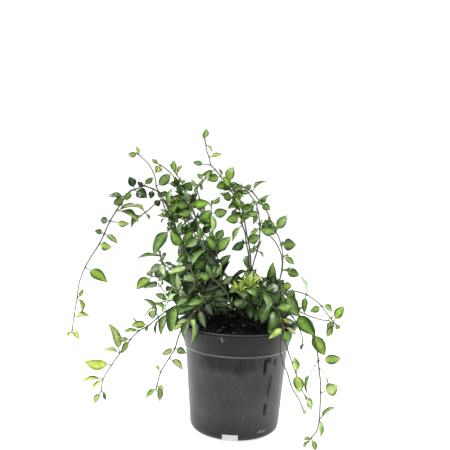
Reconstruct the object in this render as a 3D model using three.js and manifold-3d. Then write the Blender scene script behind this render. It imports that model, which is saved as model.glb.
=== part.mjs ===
// Potted atropurpurea periwinkle: a nursery pot of soil, and the leafy vines that grow from it.
// Millimetres, +Z up. The pot stands on z = 0 with its axis on x = y = 0, and its front faces -Y.
import * as THREE from "three";
import { mergeVertices } from "three/addons/utils/BufferGeometryUtils.js";
import Module from "manifold-3d";

const wasm = await Module();
wasm.setup();

// Pot: a thin tapered body, a flared collar, and a floor raised inside a ring foot
const RIM_RADIUS = 65;
const POT_HEIGHT = 116;
const COLLAR_BASE = 91;
const COLLAR_RADIUS = 56.1;
const BODY_TOP_RADIUS = 55.3;
const BODY_FOOT_RADIUS = 48.2;
const WALL = 1.2;
const RIM_EDGE = 1;
const FLOOR_UNDERSIDE = 9;
const FLOOR_TOP = 10.5;
const FOOT_INNER_RADIUS = 37.5;
const FOOT_OUTER_RADIUS = 40.7;
const FOOT_ROUND = 7.5;
const FOOT_ROUND_STEPS = [0, 0.42, 1];
const CENTRE_FOOT_RADIUS = 12;
const POT_SIDES = 38;

// Four notches pass under the ring foot, and six drain holes go through the floor
const NOTCHES = 4;
const NOTCH_WIDTH = 17;
const NOTCH_HEIGHT = 8;
const NOTCH_TURN = THREE.MathUtils.degToRad(-96);
const DRAINS = 6;
const DRAIN_RADIUS = 4;
const DRAIN_CIRCLE = 25;
const DRAIN_SIDES = 8;

// Soil: it fills the pot to the collar, with a low mound, lumps, and a clod heaped at the right rim
const GAP = 0.3;
const SOIL_EDGE_HEIGHT = 109;
const SOIL_EDGE_RADIUS = 60.6;
const SOIL_MOUND = 11;
const SOIL_LUMP = 0.9;
const SOIL_WAVES = [[0.31, 0.12, 0], [-0.16, 0.37, 1.3], [0.23, 0.23, 4]];
const CLOD = { x: 50, y: -9, radius: 9, height: 9 };
const SOIL_SIDES = 30;
const SOIL_RINGS = [50, 38, 26, 13];
const HOLE_RADIUS = 1.45;
const HOLE_DEPTH = 12;
const HOLE_SIDES = 6;

// Stems: four-sided, thinner toward the tip
const ROOT_RADIUS = 0.85;
const TIP_RADIUS = 0.55;
const NODE_LENGTH = 1.8;
const BEND_SPACING = 22;
const UPRIGHT_RISE = 2;

// Stems keep apart: those that come too near are pushed, a pass at a time, a little past that distance
const STEM_APART = 2.5;
const PUSH_EXCESS = 1.02;
const PUSH_PASSES = 200;
const LEAST_PUSH = 0.35;

// Leaves: a short stalk and a pointed oval blade, folded along its midrib
const STALK_SHARE = 0.14;
const STALK_RADIUS = 0.55;
const BLADE_THICKNESS = 1.2;
const BLADE_FOLD = 0.16;
const BLADE_WIDTH_SHARE = 0.46;
const WIDEST_AT = 0.36;
const SHOULDER_AT = 0.7;
const SHOULDER_WIDTH = 0.78;
const LEAF_ARCH = 0.07;
const BLADE_APART = 1.4;
const ROD_APART = 1.6;
const SMALL_LEAF = 17;
const STALK_LIFT = 0.9;
const BLADE_LIFT = 0.3;
const WORST_SEAT = 0;
const MOST_TURN = 1.3;
const TRACED_LEAN = 0.25;

// A leaf is tried at points this far apart. They keep clear of the pot and of all other leaves and stems,
// and the room that they keep from those of their own node grows from its core to its reach
const SAMPLE_STEP = 1.5;
const POT_ROOM = 1.1;
const NODE_CORE = 0.9;
const NODE_REACH = 3.0;
const CUBE = 7;
const TOUCH = 1e-4;

// Leaves set by rule on the hidden stretches of stem
const PAIR_SPACING = 21;
const PAIR_LENGTH = 22;
const PAIR_LEAN = 0.55;
const PAIR_LENGTH_SPREAD = 0.18;
const PAIR_WIDTH_SHARE = 0.54;
const PAIR_DROOP = 0.25;
const PAIR_ROLL = 0.4;
const BARE_FOOT = 8;
const BUSH_CENTRE = new THREE.Vector3(-20, 0, 165);
const LIGHT_PULL = new THREE.Vector3(0, -0.7, 0.5);

// The eye that the vines are drawn for. They are read off in the upright plane through the pot's axis.
const EYE = new THREE.Vector3(-13.9, -700, 266.4);

// Each vine stands in its own hole, at root [across, toward] on the soil. Its stem is a list of
// [across, up, toward], where across and up are where it is seen on the plane through the axis, and
// toward is how far it lies in front of that plane. A leaf is [stem point, then the same three for its
// tip, the width that it shows, and the share of its length that is stalk, where that is long]. As many
// stem points as hidden says are inside the bush, where pairs of leaves are set by rule.
const VINES = [
  {
    name: "vine_left_arch",
    root: [-30, -8],
    stem: [
      [-49, 154, 6], [-65, 203, 6], [-78, 238, 8], [-88, 253, 8], [-95, 257, 9],
      [-105, 260, 10], [-115, 256, 12], [-120, 254, 13], [-126, 246, 14], [-134, 233, 16],
      [-141, 221, 18], [-147, 207, 19], [-152, 196, 20], [-160, 183, 21], [-167, 170, 22],
      [-173, 153, 23], [-175, 137, 24], [-178, 116, 24], [-180, 101, 25],
    ],
    leaves: [
      [1, -55, 171, 14, 12], [1, -76, 218, 2, 5], [2, -76, 258, 5, 6], [2, -68, 222, 14, 9],
      [4, -98, 247, 12, 6], [5, -96, 269, 7, 5], [5, -112, 264, 13, 5], [6, -121, 269, 10, 8],
      [6, -102, 248, 17, 10], [7, -124, 244, 17, 7], [8, -141, 250, 11, 3],
      [8, -137, 240, 19, 8], [9, -111, 238, 20, 5], [9, -111, 222, 24, 10],
      [10, -151, 222, 16, 6], [10, -121, 219, 23, 6, 0.45], [11, -157, 210, 21, 5],
      [11, -133, 198, 24, 5], [12, -139, 193, 25, 9], [14, -143, 155, 28, 9, 0.22],
      [16, -168, 146, 22, 4], [16, -169, 120, 28, 3], [17, -162, 117, 29, 6],
      [18, -172, 91, 28, 5], [18, -184, 93, 23, 3],
    ],
    hidden: 3,
  },
  {
    name: "vine_left_rosette",
    root: [-38, -4],
    stem: [
      [-56, 165, -10], [-68, 208, -8], [-79, 237, -5], [-86, 246, -1], [-94, 240, 2],
      [-100, 234, 4], [-104, 231, 5],
    ],
    leaves: [
      [3, -93, 241, -5, 6], [3, -90, 255, 1, 4], [6, -113, 241, 9, 4], [6, -118, 216, 11, 6],
      [6, -99, 224, 3, 3],
    ],
    hidden: 2,
  },
  {
    name: "vine_top_left_long",
    root: [-24, -22],
    stem: [
      [-46, 155, -22], [-67, 208, -20], [-83, 239, -16], [-89, 254, -12], [-92, 260, -10],
      [-93, 268, -9], [-96, 276, -8], [-101, 284, -6], [-111, 293, -4],
    ],
    leaves: [
      [3, -78, 250, -20, 6], [4, -78, 273, -14, 11], [8, -123, 294, -2, 5],
      [8, -115, 302, -8, 3],
    ],
    hidden: 3,
  },
  {
    name: "vine_top_left_middle",
    root: [-20, -15],
    stem: [
      [-36, 160, -16], [-52, 209, -18], [-63, 243, -15], [-67, 260, -12], [-72, 269, -10],
      [-76, 274, -9], [-83, 280, -7], [-88, 283, -6],
    ],
    leaves: [
      [1, -61, 215, -10, 9], [1, -48, 226, -12, 8], [2, -75, 249, -7, 11], [2, -57, 226, -7, 9],
      [3, -78, 264, -10, 4], [3, -66, 271, -20, 3], [7, -97, 289, -4, 4], [7, -93, 275, -1, 8],
      [7, -87, 276, -11, 3],
    ],
    hidden: 3,
  },
  {
    name: "vine_top_left_inner",
    root: [-13, -15],
    stem: [
      [-28, 161, -6], [-41, 209, -4], [-55, 242, -2], [-61, 256, -2], [-64, 264, -3],
      [-67, 269, -4], [-71, 274, -5],
    ],
    leaves: [
      [1, -53, 184, 4, 10], [1, -32, 224, 0, 8], [2, -71, 231, 5, 10], [2, -48, 254, 2, 5],
      [3, -55, 266, 3, 10], [3, -71, 263, 2, 6], [4, -62, 268, -2, 3], [6, -74, 288, -4, 6],
      [6, -65, 283, -8, 4], [6, -78, 284, -11, 4],
    ],
    hidden: 3,
  },
  {
    name: "vine_top_spire",
    root: [12, -16],
    stem: [
      [2, 144, 2], [8, 157, 5], [11, 172, 8], [10, 189, 10], [7, 202, 10], [5, 214, 10],
      [2, 221, 10], [0, 231, 9], [-2, 239, 8], [-5, 246, 7], [-8, 252, 6], [-11, 258, 5],
      [-13, 261, 4], [-17, 266, 3], [-23, 273, 1], [-29, 280, 0], [-34, 285, 0], [-36, 293, 0],
      [-39, 300, 0], [-40, 306, 0], [-41, 311, 0],
    ],
    leaves: [
      [2, 0, 151, 16, 9], [2, 14, 148, 18, 9], [2, -7, 160, 10, 6], [2, 21, 161, 12, 6],
      [3, 9, 175, 13, 5], [4, -8, 195, 14, 9], [4, 20, 211, 13, 9], [6, -8, 204, 13, 3],
      [7, -15, 226, 13, 9], [7, 10, 231, 15, 6], [8, -10, 230, 9, 3], [8, 12, 240, 12, 9],
      [9, -14, 239, 10, 6], [9, 5, 243, 11, 5], [10, -1, 240, 12, 5], [10, -19, 250, 8, 8],
      [11, -23, 255, 10, 8], [11, 2, 252, 8, 5], [12, -20, 273, 9, 6], [12, -1, 261, 8, 8],
      [13, -10, 283, 1, 10], [13, -27, 261, 8, 8], [14, -25, 281, -3, 4], [14, -37, 269, 5, 9],
      [15, -43, 274, 3, 6], [16, -53, 287, 4, 5, 0.45], [17, -23, 297, 2, 3],
      [19, -33, 299, 2, 3], [20, -40, 323, 1, 6], [20, -43, 318, -3, 3],
    ],
    hidden: 1,
  },
  {
    name: "vine_top_side",
    root: [-9, -8],
    stem: [
      [-21, 155, 14], [-29, 199, 14], [-38, 231, 12], [-45, 249, 10], [-48, 259, 9],
      [-44, 264, 8], [-41, 268, 8],
    ],
    leaves: [
      [0, -37, 173, 22, 11], [0, -11, 181, 16, 6], [1, -37, 184, 22, 11], [1, -16, 194, 18, 10],
      [3, -51, 238, 16, 6], [4, -54, 269, 11, 4], [4, -51, 254, 13, 5], [5, -43, 257, 11, 3],
      [6, -48, 275, 6, 5], [6, -35, 277, 5, 5],
    ],
    hidden: 2,
  },
  {
    name: "vine_right_arch",
    root: [19, -20],
    stem: [
      [6, 144, -4], [13, 160, -2], [13, 175, 0], [11, 195, 2], [7, 212, 3], [4, 227, 3],
      [0, 242, 2], [-5, 255, 0], [-11, 263, -2], [-10, 267, -2], [-4, 265, -1], [2, 262, 0],
      [11, 258, 2], [17, 251, 3], [22, 245, 4], [29, 235, 6], [34, 224, 8], [38, 216, 9],
      [42, 209, 9], [45, 200, 10], [47, 189, 10], [47, 174, 10], [44, 160, 9],
    ],
    leaves: [
      [5, -9, 235, 6, 4], [7, -9, 242, 6, 6], [8, -21, 260, 2, 8], [11, 11, 264, -4, 5],
      [11, -6, 254, 6, 6], [12, 25, 270, 0, 3], [12, -3, 255, 7, 5], [14, 31, 255, 2, 3],
      [14, 31, 239, 8, 7], [16, 23, 224, 10, 6], [17, 49, 233, 7, 8], [17, 22, 217, 13, 10],
      [19, 60, 202, 12, 12, 0.08], [20, 59, 181, 13, 6], [21, 65, 169, 12, 9, 0.25],
      [22, 34, 150, 12, 6], [22, 52, 146, 6, 6],
    ],
    hidden: 1,
  },
  {
    name: "vine_right_riser",
    root: [12, -7],
    stem: [
      [13, 144, 10], [17, 158, 12], [14, 172, 12], [16, 183, 12], [19, 194, 11], [21, 206, 10],
      [21, 218, 9], [19, 235, 8], [16, 245, 7], [11, 252, 6], [5, 258, 5], [-2, 259, 4],
    ],
    leaves: [
      [2, 5, 167, 15, 4], [2, 22, 159, 13, 8], [4, 8, 192, 15, 5], [4, 26, 187, 8, 3],
      [6, 11, 210, 11, 3], [6, 39, 216, 8, 9], [7, 14, 223, 11, 4], [7, 6, 233, 12, 6],
      [8, 4, 235, 12, 9], [8, 24, 247, 4, 5], [11, -12, 265, 6, 5], [11, -10, 249, 8, 6],
    ],
    hidden: 1,
  },
  {
    name: "vine_right_second",
    root: [33, -22],
    stem: [
      [35, 144, 0], [42, 156, 3], [46, 172, 5], [46, 187, 6], [42, 198, 6], [36, 207, 5],
      [29, 213, 5],
    ],
    leaves: [
      [1, 36, 181, 9, 12], [1, 27, 164, 6, 8], [6, 25, 224, 8, 8], [6, 36, 225, 3, 5],
    ],
  },
  {
    name: "vine_middle_sprig",
    root: [1, -15],
    stem: [
      [-13, 148, 26], [-22, 176, 28], [-25, 192, 28], [-28, 204, 28], [-31, 221, 27],
      [-32, 233, 26], [-32, 241, 26],
    ],
    leaves: [
      [1, -10, 188, 34, 8], [1, -37, 188, 34, 9], [2, -11, 207, 35, 10], [2, -37, 208, 33, 9],
      [3, -19, 215, 22, 9], [3, -17, 189, 36, 10], [3, -39, 195, 34, 9], [4, -40, 219, 30, 4],
      [5, -15, 236, 28, 9], [5, -29, 214, 31, 6], [6, -30, 247, 24, 3], [6, -36, 244, 28, 2],
    ],
  },
  {
    name: "vine_middle_fan",
    root: [-16, -8],
    stem: [
      [-26, 152, 22], [-36, 182, 24], [-43, 206, 24], [-46, 221, 24], [-51, 235, 23],
      [-55, 242, 22],
    ],
    leaves: [
      [0, -16, 158, 30, 10], [0, -42, 154, 30, 10], [1, -47, 173, 32, 10], [1, -19, 172, 29, 9],
      [2, -58, 196, 30, 9], [2, -29, 187, 29, 10], [3, -34, 236, 26, 10], [3, -44, 203, 29, 6],
      [4, -67, 231, 28, 9], [5, -35, 245, 25, 10], [5, -60, 254, 24, 10], [5, -70, 241, 26, 10],
    ],
    hidden: 1,
  },
  {
    name: "vine_left_pair",
    root: [-23, -9],
    stem: [
      [-46, 155, 20], [-57, 187, 22], [-61, 196, 22], [-68, 207, 22], [-75, 215, 22],
      [-78, 228, 20],
    ],
    leaves: [
      [1, -68, 179, 28, 5], [1, -44, 180, 29, 10], [2, -75, 212, 29, 10], [2, -52, 212, 25, 9],
      [3, -63, 223, 26, 6], [4, -93, 188, 27, 10], [4, -80, 191, 32, 9], [5, -90, 229, 22, 3],
      [5, -69, 241, 24, 9], [5, -87, 220, 16, 5],
    ],
    hidden: 1,
  },
  {
    name: "vine_left_pale",
    root: [-37, 4],
    stem: [
      [-52, 149, 10], [-65, 165, 14], [-75, 172, 18], [-83, 178, 20], [-86, 186, 20],
    ],
    leaves: [
      [1, -68, 148, 20, 10], [1, -56, 173, 16, 6], [2, -87, 158, 24, 8], [2, -72, 152, 26, 10],
      [3, -96, 168, 25, 9], [3, -80, 162, 29, 10], [3, -72, 176, 17, 4], [4, -110, 181, 18, 3],
      [4, -99, 173, 24, 3], [4, -79, 188, 17, 4],
    ],
  },
  {
    name: "vine_left_broad",
    root: [-44, 2],
    stem: [
      [-57, 140, 4], [-70, 152, 8], [-83, 160, 12], [-95, 163, 14],
    ],
    leaves: [
      [0, -63, 164, 7, 8], [1, -67, 137, 14, 10], [1, -78, 146, 16, 9], [2, -72, 160, 7, 9],
      [2, -88, 172, 8, 9], [3, -110, 148, 17, 11], [3, -82, 146, 23, 13], [3, -99, 168, 8, 5],
    ],
  },
  {
    name: "vine_left_runner",
    root: [-43, 10],
    stem: [
      [-56, 129, 24], [-67, 129, 26], [-77, 125, 27], [-86, 118, 28], [-97, 108, 29],
      [-107, 102, 30], [-116, 92, 31], [-127, 77, 32], [-136, 63, 33], [-145, 47, 34],
      [-147, 34, 34],
    ],
    leaves: [
      [1, -73, 103, 34, 10], [1, -62, 145, 22, 10], [2, -92, 133, 24, 5], [2, -83, 99, 33, 9],
      [3, -102, 138, 25, 3], [3, -88, 99, 31, 3], [4, -115, 108, 33, 8], [4, -100, 102, 32, 3],
      [5, -114, 117, 27, 4], [5, -123, 101, 34, 4], [6, -129, 93, 34, 5], [6, -125, 77, 34, 3],
      [7, -140, 108, 26, 9], [7, -145, 80, 36, 3], [8, -165, 66, 36, 11], [9, -168, 44, 37, 5],
      [9, -157, 35, 39, 4], [10, -154, 20, 38, 5], [10, -141, 24, 31, 4],
    ],
  },
  {
    name: "vine_left_lime",
    root: [-36, 12],
    stem: [
      [-46, 129, 34], [-55, 134, 36], [-66, 137, 36], [-76, 136, 34], [-87, 133, 32],
      [-93, 128, 31],
    ],
    leaves: [
      [0, -55, 110, 40, 12], [1, -67, 121, 41, 10], [1, -52, 149, 32, 9], [2, -71, 103, 43, 10],
      [3, -90, 143, 32, 5], [3, -81, 120, 38, 4], [5, -92, 116, 34, 9], [5, -101, 117, 33, 2],
    ],
  },
  {
    name: "vine_left_drooper",
    root: [-40, 26],
    stem: [
      [-42, 121, 46], [-51, 120, 49], [-57, 112, 49], [-63, 99, 49], [-67, 84, 48],
      [-73, 73, 46], [-82, 57, 44], [-86, 41, 43],
    ],
    leaves: [
      [1, -58, 96, 55, 6], [1, -49, 90, 57, 7], [2, -70, 104, 53, 6], [4, -81, 77, 52, 6],
      [4, -55, 79, 53, 6], [5, -58, 61, 50, 6], [6, -89, 64, 47, 3], [7, -97, 28, 46, 5],
      [7, -78, 38, 46, 4], [7, -82, 25, 44, 5],
    ],
  },
  {
    name: "vine_front_left",
    root: [-35, 20],
    stem: [
      [-38, 138, 30], [-24, 148, 44], [-28, 142, 47], [-36, 136, 49], [-43, 129, 51],
      [-52, 118, 52],
    ],
    leaves: [
      [2, -13, 139, 52, 10], [2, -25, 129, 54, 11], [3, -54, 133, 51, 9], [3, -28, 123, 57, 11],
      [4, -63, 125, 53, 10], [4, -35, 109, 57, 9], [5, -47, 106, 56, 9], [5, -65, 112, 55, 6],
    ],
  },
  {
    name: "vine_front_middle",
    root: [-2, -8],
    stem: [
      [-8, 134, 46], [-12, 146, 46], [-20, 155, 46], [-28, 162, 44],
    ],
    leaves: [
      [0, -26, 134, 49, 10], [0, 8, 140, 49, 10], [1, 2, 157, 48, 9], [1, -26, 146, 50, 10],
      [2, -36, 149, 50, 10], [2, -7, 166, 43, 9], [3, -42, 166, 47, 10], [3, -19, 176, 41, 9],
      [3, -35, 177, 38, 9],
    ],
  },
  {
    name: "vine_front_right",
    root: [33, -9],
    stem: [
      [26, 134, 42], [33, 137, 46], [41, 132, 50], [47, 121, 53], [51, 110, 55],
    ],
    leaves: [
      [0, 20, 118, 47, 10], [0, 15, 145, 40, 9], [1, 27, 116, 53, 12], [1, 45, 146, 43, 10],
      [2, 36, 108, 56, 12], [2, 57, 135, 47, 9], [3, 40, 105, 57, 10], [3, 60, 117, 49, 6],
      [4, 36, 99, 59, 8], [4, 57, 96, 59, 9], [4, 65, 104, 52, 5],
    ],
  },
  {
    name: "vine_right_broad",
    root: [40, -5],
    stem: [
      [33, 141, 22], [40, 150, 26], [46, 153, 28], [51, 150, 30],
    ],
    leaves: [
      [0, 19, 159, 25, 10], [0, 31, 124, 32, 10], [1, 27, 154, 30, 9], [1, 40, 171, 22, 6],
      [2, 37, 136, 35, 9], [2, 57, 158, 24, 8], [3, 67, 125, 35, 13], [3, 46, 126, 38, 10],
    ],
  },
  {
    name: "vine_right_low_arch",
    root: [37, -16],
    stem: [
      [31, 137, -2], [41, 148, 2], [51, 151, 4], [63, 151, 7], [74, 148, 9], [84, 142, 11],
      [91, 136, 13], [98, 127, 14], [105, 119, 15],
    ],
    leaves: [
      [0, 26, 154, -6, 10], [0, 46, 130, 3, 9], [1, 49, 163, -2, 9], [1, 57, 138, 7, 9],
      [4, 69, 168, 6, 3], [4, 73, 128, 13, 5], [6, 79, 130, 17, 6], [6, 103, 130, 12, 9],
      [8, 115, 136, 12, 8], [8, 98, 111, 18, 6], [8, 111, 111, 13, 5], [8, 98, 103, 21, 5],
    ],
  },
  {
    name: "vine_right_runner",
    root: [40, 4],
    stem: [
      [38, 131, 20], [50, 132, 25], [65, 127, 32], [73, 120, 38], [81, 106, 46], [87, 91, 53],
      [90, 76, 58], [91, 67, 60], [93, 54, 62], [94, 40, 63], [94, 23, 64], [94, 11, 65],
      [91, -4, 67], [85, -12, 68],
    ],
    leaves: [
      [1, 38, 117, 33, 10], [2, 87, 103, 32, 3], [2, 84, 104, 46, 8], [4, 96, 83, 53, 11],
      [6, 114, 79, 60, 9, 0.25], [6, 78, 39, 62, 3, 0.5], [7, 103, 49, 62, 3],
      [9, 112, 48, 66, 12, 0.28], [11, 110, 24, 67, 3], [11, 97, -9, 70, 3],
      [13, 78, -22, 67, 3], [13, 78, -13, 71, 3], [13, 91, -25, 67, 5],
    ],
  },
  {
    name: "vine_right_twin",
    root: [47, -1],
    stem: [
      [43, 138, 10], [55, 137, 14], [68, 129, 18], [80, 124, 20], [91, 121, 21], [99, 120, 21],
    ],
    leaves: [
      [0, 33, 125, 14, 9], [1, 59, 153, 11, 8], [1, 50, 121, 19, 9], [5, 106, 113, 23, 4],
      [5, 104, 125, 19, 3],
    ],
  },
  {
    name: "vine_right_leafy_drop",
    root: [40, 13],
    stem: [
      [36, 120, 52], [46, 114, 54], [52, 99, 54], [57, 84, 52], [63, 69, 50], [66, 61, 49],
      [72, 45, 47], [77, 36, 46],
    ],
    leaves: [
      [1, 34, 105, 58, 9], [5, 63, 78, 51, 8], [5, 71, 40, 53, 9], [7, 81, 22, 47, 4],
      [7, 85, 21, 50, 4],
    ],
  },
  {
    name: "vine_right_bare_drop",
    root: [47, 8],
    stem: [
      [35, 125, 44], [45, 117, 48], [48, 103, 54], [48, 89, 56], [51, 73, 54], [57, 60, 52],
      [62, 45, 50], [71, 31, 48], [75, 22, 47],
    ],
    leaves: [
      [8, 79, 16, 48, 3],
    ],
  },
  {
    name: "vine_right_short_drop",
    root: [46, -9],
    stem: [
      [50, 128, 2], [60, 123, 9], [67, 112, 15], [71, 103, 18], [72, 96, 19],
    ],
    leaves: [
      [1, 71, 134, 6, 4], [4, 71, 87, 20, 3],
    ],
  },
  {
    name: "vine_back_left_high",
    root: [-32, -23],
    stem: [[-46, 138, -26], [-55, 160, -34], [-58, 179, -36], [-54, 203, -34], [-61, 225, -30]],
    leaves: [],
    hidden: 4,
  },
  {
    name: "vine_back_middle_high",
    root: [-13, -30],
    stem: [[-26, 139, -36], [-36, 166, -42], [-41, 193, -44], [-48, 217, -40]],
    leaves: [],
    hidden: 3,
  },
  {
    name: "vine_back_right",
    root: [6, -30],
    stem: [[-6, 139, -36], [0, 153, -46], [12, 158, -50]],
    leaves: [],
    hidden: 2,
  },
  {
    name: "vine_back_far_right",
    root: [26, -28],
    stem: [[15, 140, -28], [26, 151, -36], [36, 154, -38]],
    leaves: [],
    hidden: 2,
  },
  {
    name: "vine_back_far_left",
    root: [-46, -13],
    stem: [[-63, 133, -22], [-76, 141, -28], [-85, 152, -30]],
    leaves: [],
    hidden: 2,
  },
  {
    name: "vine_inner_middle",
    root: [-4, -22],
    stem: [[-20, 139, -14], [-25, 161, -18], [-29, 180, -20], [-28, 199, -18]],
    leaves: [],
    hidden: 3,
  },
  {
    name: "vine_inner_left",
    root: [-28, -16],
    stem: [[-37, 138, -2], [-46, 155, -2], [-51, 173, 0], [-54, 193, 2]],
    leaves: [],
    hidden: 3,
  },
  {
    name: "vine_inner_right",
    root: [24, -13],
    stem: [[13, 138, -16], [21, 148, -18], [30, 158, -18]],
    leaves: [],
    hidden: 2,
  },
  {
    name: "vine_front_left_high",
    root: [-30, 0],
    stem: [[-28, 139, 30], [-37, 149, 34], [-46, 160, 34], [-53, 173, 32]],
    leaves: [],
    hidden: 3,
  },
  {
    name: "vine_front_left_low",
    root: [-33, 28],
    stem: [[-41, 132, 40], [-54, 140, 44], [-65, 146, 42]],
    leaves: [],
    hidden: 2,
  },
  {
    name: "vine_front_right_high",
    root: [29, -6],
    stem: [[13, 137, 30], [22, 145, 40], [28, 149, 48]],
    leaves: [],
    hidden: 2,
  },
  {
    name: "vine_back_low_right",
    root: [0, -42],
    stem: [[-13, 137, -56], [-18, 150, -62], [-9, 157, -66]],
    leaves: [],
    hidden: 2,
  },
  {
    name: "vine_back_low_left",
    root: [-22, -37],
    stem: [[-37, 136, -50], [-46, 149, -60], [-55, 158, -62]],
    leaves: [],
    hidden: 2,
  },
];

// The bush as it is seen on the plane through the axis, and the gaps that the background shows through.
// Leaves set by rule stay inside the one and out of the others.
const BUSH_OUTLINE = [
  [-81, 257], [-75, 263], [-56, 266], [-49, 262], [-47, 249], [-36, 244], [-37, 234],
  [-31, 217], [-23, 216], [-11, 207], [-17, 192], [-19, 187], [-12, 181], [-14, 174], [-6, 166],
  [6, 165], [19, 164], [32, 169], [36, 163], [47, 157], [56, 152], [59, 142], [66, 126],
  [57, 122], [53, 108], [36, 106], [23, 118], [9, 125], [-8, 122], [-21, 119], [-32, 117],
  [-40, 107], [-51, 100], [-64, 102], [-75, 104], [-84, 113], [-93, 119], [-85, 130],
  [-89, 141], [-96, 147], [-107, 151], [-104, 161], [-94, 172], [-86, 178], [-75, 172],
  [-66, 177], [-68, 179], [-61, 192], [-73, 203], [-76, 214], [-78, 220], [-79, 240],
];
const BUSH_GAPS = [
  [-51, 232, 3], [-36, 216, 2], [-23, 186, 3], [49, 129, 4], [-78, 141, 3], [-79, 126, 2],
  [-24, 208, 2], [-47, 250, 3],
];

const COLOURS = { pot: 0x3f4042, soil: 0x231a15, vine: 0x4f7a33 };

function seededDraws(seed) {
  let state = seed;
  return () => {
    state = (state + 0x6d2b79f5) | 0;
    let mixed = Math.imul(state ^ (state >>> 15), 1 | state);
    mixed = (mixed + Math.imul(mixed ^ (mixed >>> 7), 61 | mixed)) ^ mixed;
    return ((mixed ^ (mixed >>> 14)) >>> 0) / 4294967296;
  };
}

const draw = seededDraws(1891);
const spread = (amount) => (2 * draw() - 1) * amount;

// Solids

function toSolid(geometry) {
  const bare = new THREE.BufferGeometry();
  bare.setAttribute("position", geometry.getAttribute("position"));
  bare.setIndex(geometry.getIndex());
  const merged = mergeVertices(bare, 1e-4);
  const index = merged.getIndex().array;
  const corners = [];
  for (let i = 0; i < index.length; i += 3) {
    const [a, b, c] = [index[i], index[i + 1], index[i + 2]];
    if (a !== b && b !== c && c !== a) corners.push(a, b, c);
  }
  const vertProperties = new Float32Array(merged.getAttribute("position").array);
  const triVerts = new Uint32Array(corners);
  return new wasm.Manifold(new wasm.Mesh({ numProp: 3, vertProperties, triVerts }));
}

function toGeometry(solid) {
  const mesh = solid.getMesh();
  const geometry = new THREE.BufferGeometry();
  geometry.setAttribute("position", new THREE.BufferAttribute(new Float32Array(mesh.vertProperties), 3));
  geometry.setIndex(new THREE.BufferAttribute(new Uint32Array(mesh.triVerts), 1));
  geometry.computeVertexNormals();
  return geometry;
}

function lathe(profile, sides) {
  const points = profile.map(([radius, height]) => new THREE.Vector2(radius, height));
  return new THREE.LatheGeometry(points, sides).rotateX(Math.PI / 2);
}

function uprightCylinder(radius, bottom, top, sides) {
  const cylinder = new THREE.CylinderGeometry(radius, radius, top - bottom, sides);
  return cylinder.rotateX(Math.PI / 2).translate(0, 0, (top + bottom) / 2);
}

// Pot

const collarSlope = (RIM_RADIUS - COLLAR_RADIUS) / (POT_HEIGHT - RIM_EDGE - COLLAR_BASE);
const bodySlope = (BODY_TOP_RADIUS - BODY_FOOT_RADIUS) / (COLLAR_BASE - FOOT_ROUND);

function potRadius(height) {
  if (height >= COLLAR_BASE) {
    return Math.min(RIM_RADIUS, COLLAR_RADIUS + collarSlope * (height - COLLAR_BASE));
  }
  return BODY_FOOT_RADIUS + bodySlope * Math.max(0, height - FOOT_ROUND);
}

function potGeometry() {
  const foot = FOOT_ROUND_STEPS.map((step) => {
    const turn = (step * Math.PI) / 2;
    const radius = BODY_FOOT_RADIUS - FOOT_ROUND * (1 - Math.sin(turn));
    return [radius, FOOT_ROUND * (1 - Math.cos(turn))];
  });
  const outside = [
    [0, 0],
    [CENTRE_FOOT_RADIUS, 0],
    [CENTRE_FOOT_RADIUS, FLOOR_UNDERSIDE],
    [FOOT_INNER_RADIUS, FLOOR_UNDERSIDE],
    [FOOT_INNER_RADIUS, 0],
    ...foot,
    [BODY_TOP_RADIUS, COLLAR_BASE - RIM_EDGE],
    [COLLAR_RADIUS, COLLAR_BASE],
    [RIM_RADIUS, POT_HEIGHT - RIM_EDGE],
    [RIM_RADIUS, POT_HEIGHT],
  ];
  const inside = [
    [RIM_RADIUS - WALL, POT_HEIGHT],
    [COLLAR_RADIUS - WALL, COLLAR_BASE],
    [BODY_TOP_RADIUS - WALL, COLLAR_BASE - RIM_EDGE],
    [BODY_FOOT_RADIUS - WALL, FLOOR_TOP],
    [0, FLOOR_TOP],
  ];
  let pot = toSolid(lathe([...outside, ...inside], POT_SIDES));
  const notchStart = FOOT_INNER_RADIUS - 1;
  const notchDepth = BODY_FOOT_RADIUS - notchStart + 1;
  for (let i = 0; i < NOTCHES; i += 1) {
    const notch = new THREE.BoxGeometry(notchDepth, NOTCH_WIDTH, 2 * NOTCH_HEIGHT);
    notch.translate(notchStart + notchDepth / 2, 0, 0);
    notch.rotateZ(NOTCH_TURN + (i * 2 * Math.PI) / NOTCHES);
    pot = pot.subtract(toSolid(notch));
  }
  for (let i = 0; i < DRAINS; i += 1) {
    const drain = uprightCylinder(DRAIN_RADIUS, FLOOR_UNDERSIDE - 1, FLOOR_TOP + 1, DRAIN_SIDES);
    drain.translate(DRAIN_CIRCLE, 0, 0);
    drain.rotateZ(((i + 0.5) * 2 * Math.PI) / DRAINS);
    pot = pot.subtract(toSolid(drain));
  }
  return toGeometry(pot);
}

// Soil

function soilHeight(x, y) {
  const out = Math.hypot(x, y) / SOIL_EDGE_RADIUS;
  const inner = Math.max(0, 1 - out ** 4);
  let lumps = 0;
  for (const [perX, perY, start] of SOIL_WAVES) lumps += Math.sin(perX * x + perY * y + start);
  const clodFar = ((x - CLOD.x) ** 2 + (y - CLOD.y) ** 2) / CLOD.radius ** 2;
  const clod = CLOD.height * Math.exp(-clodFar);
  return SOIL_EDGE_HEIGHT + SOIL_MOUND * (1 - out * out) + (SOIL_LUMP * lumps + clod) * inner;
}

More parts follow.
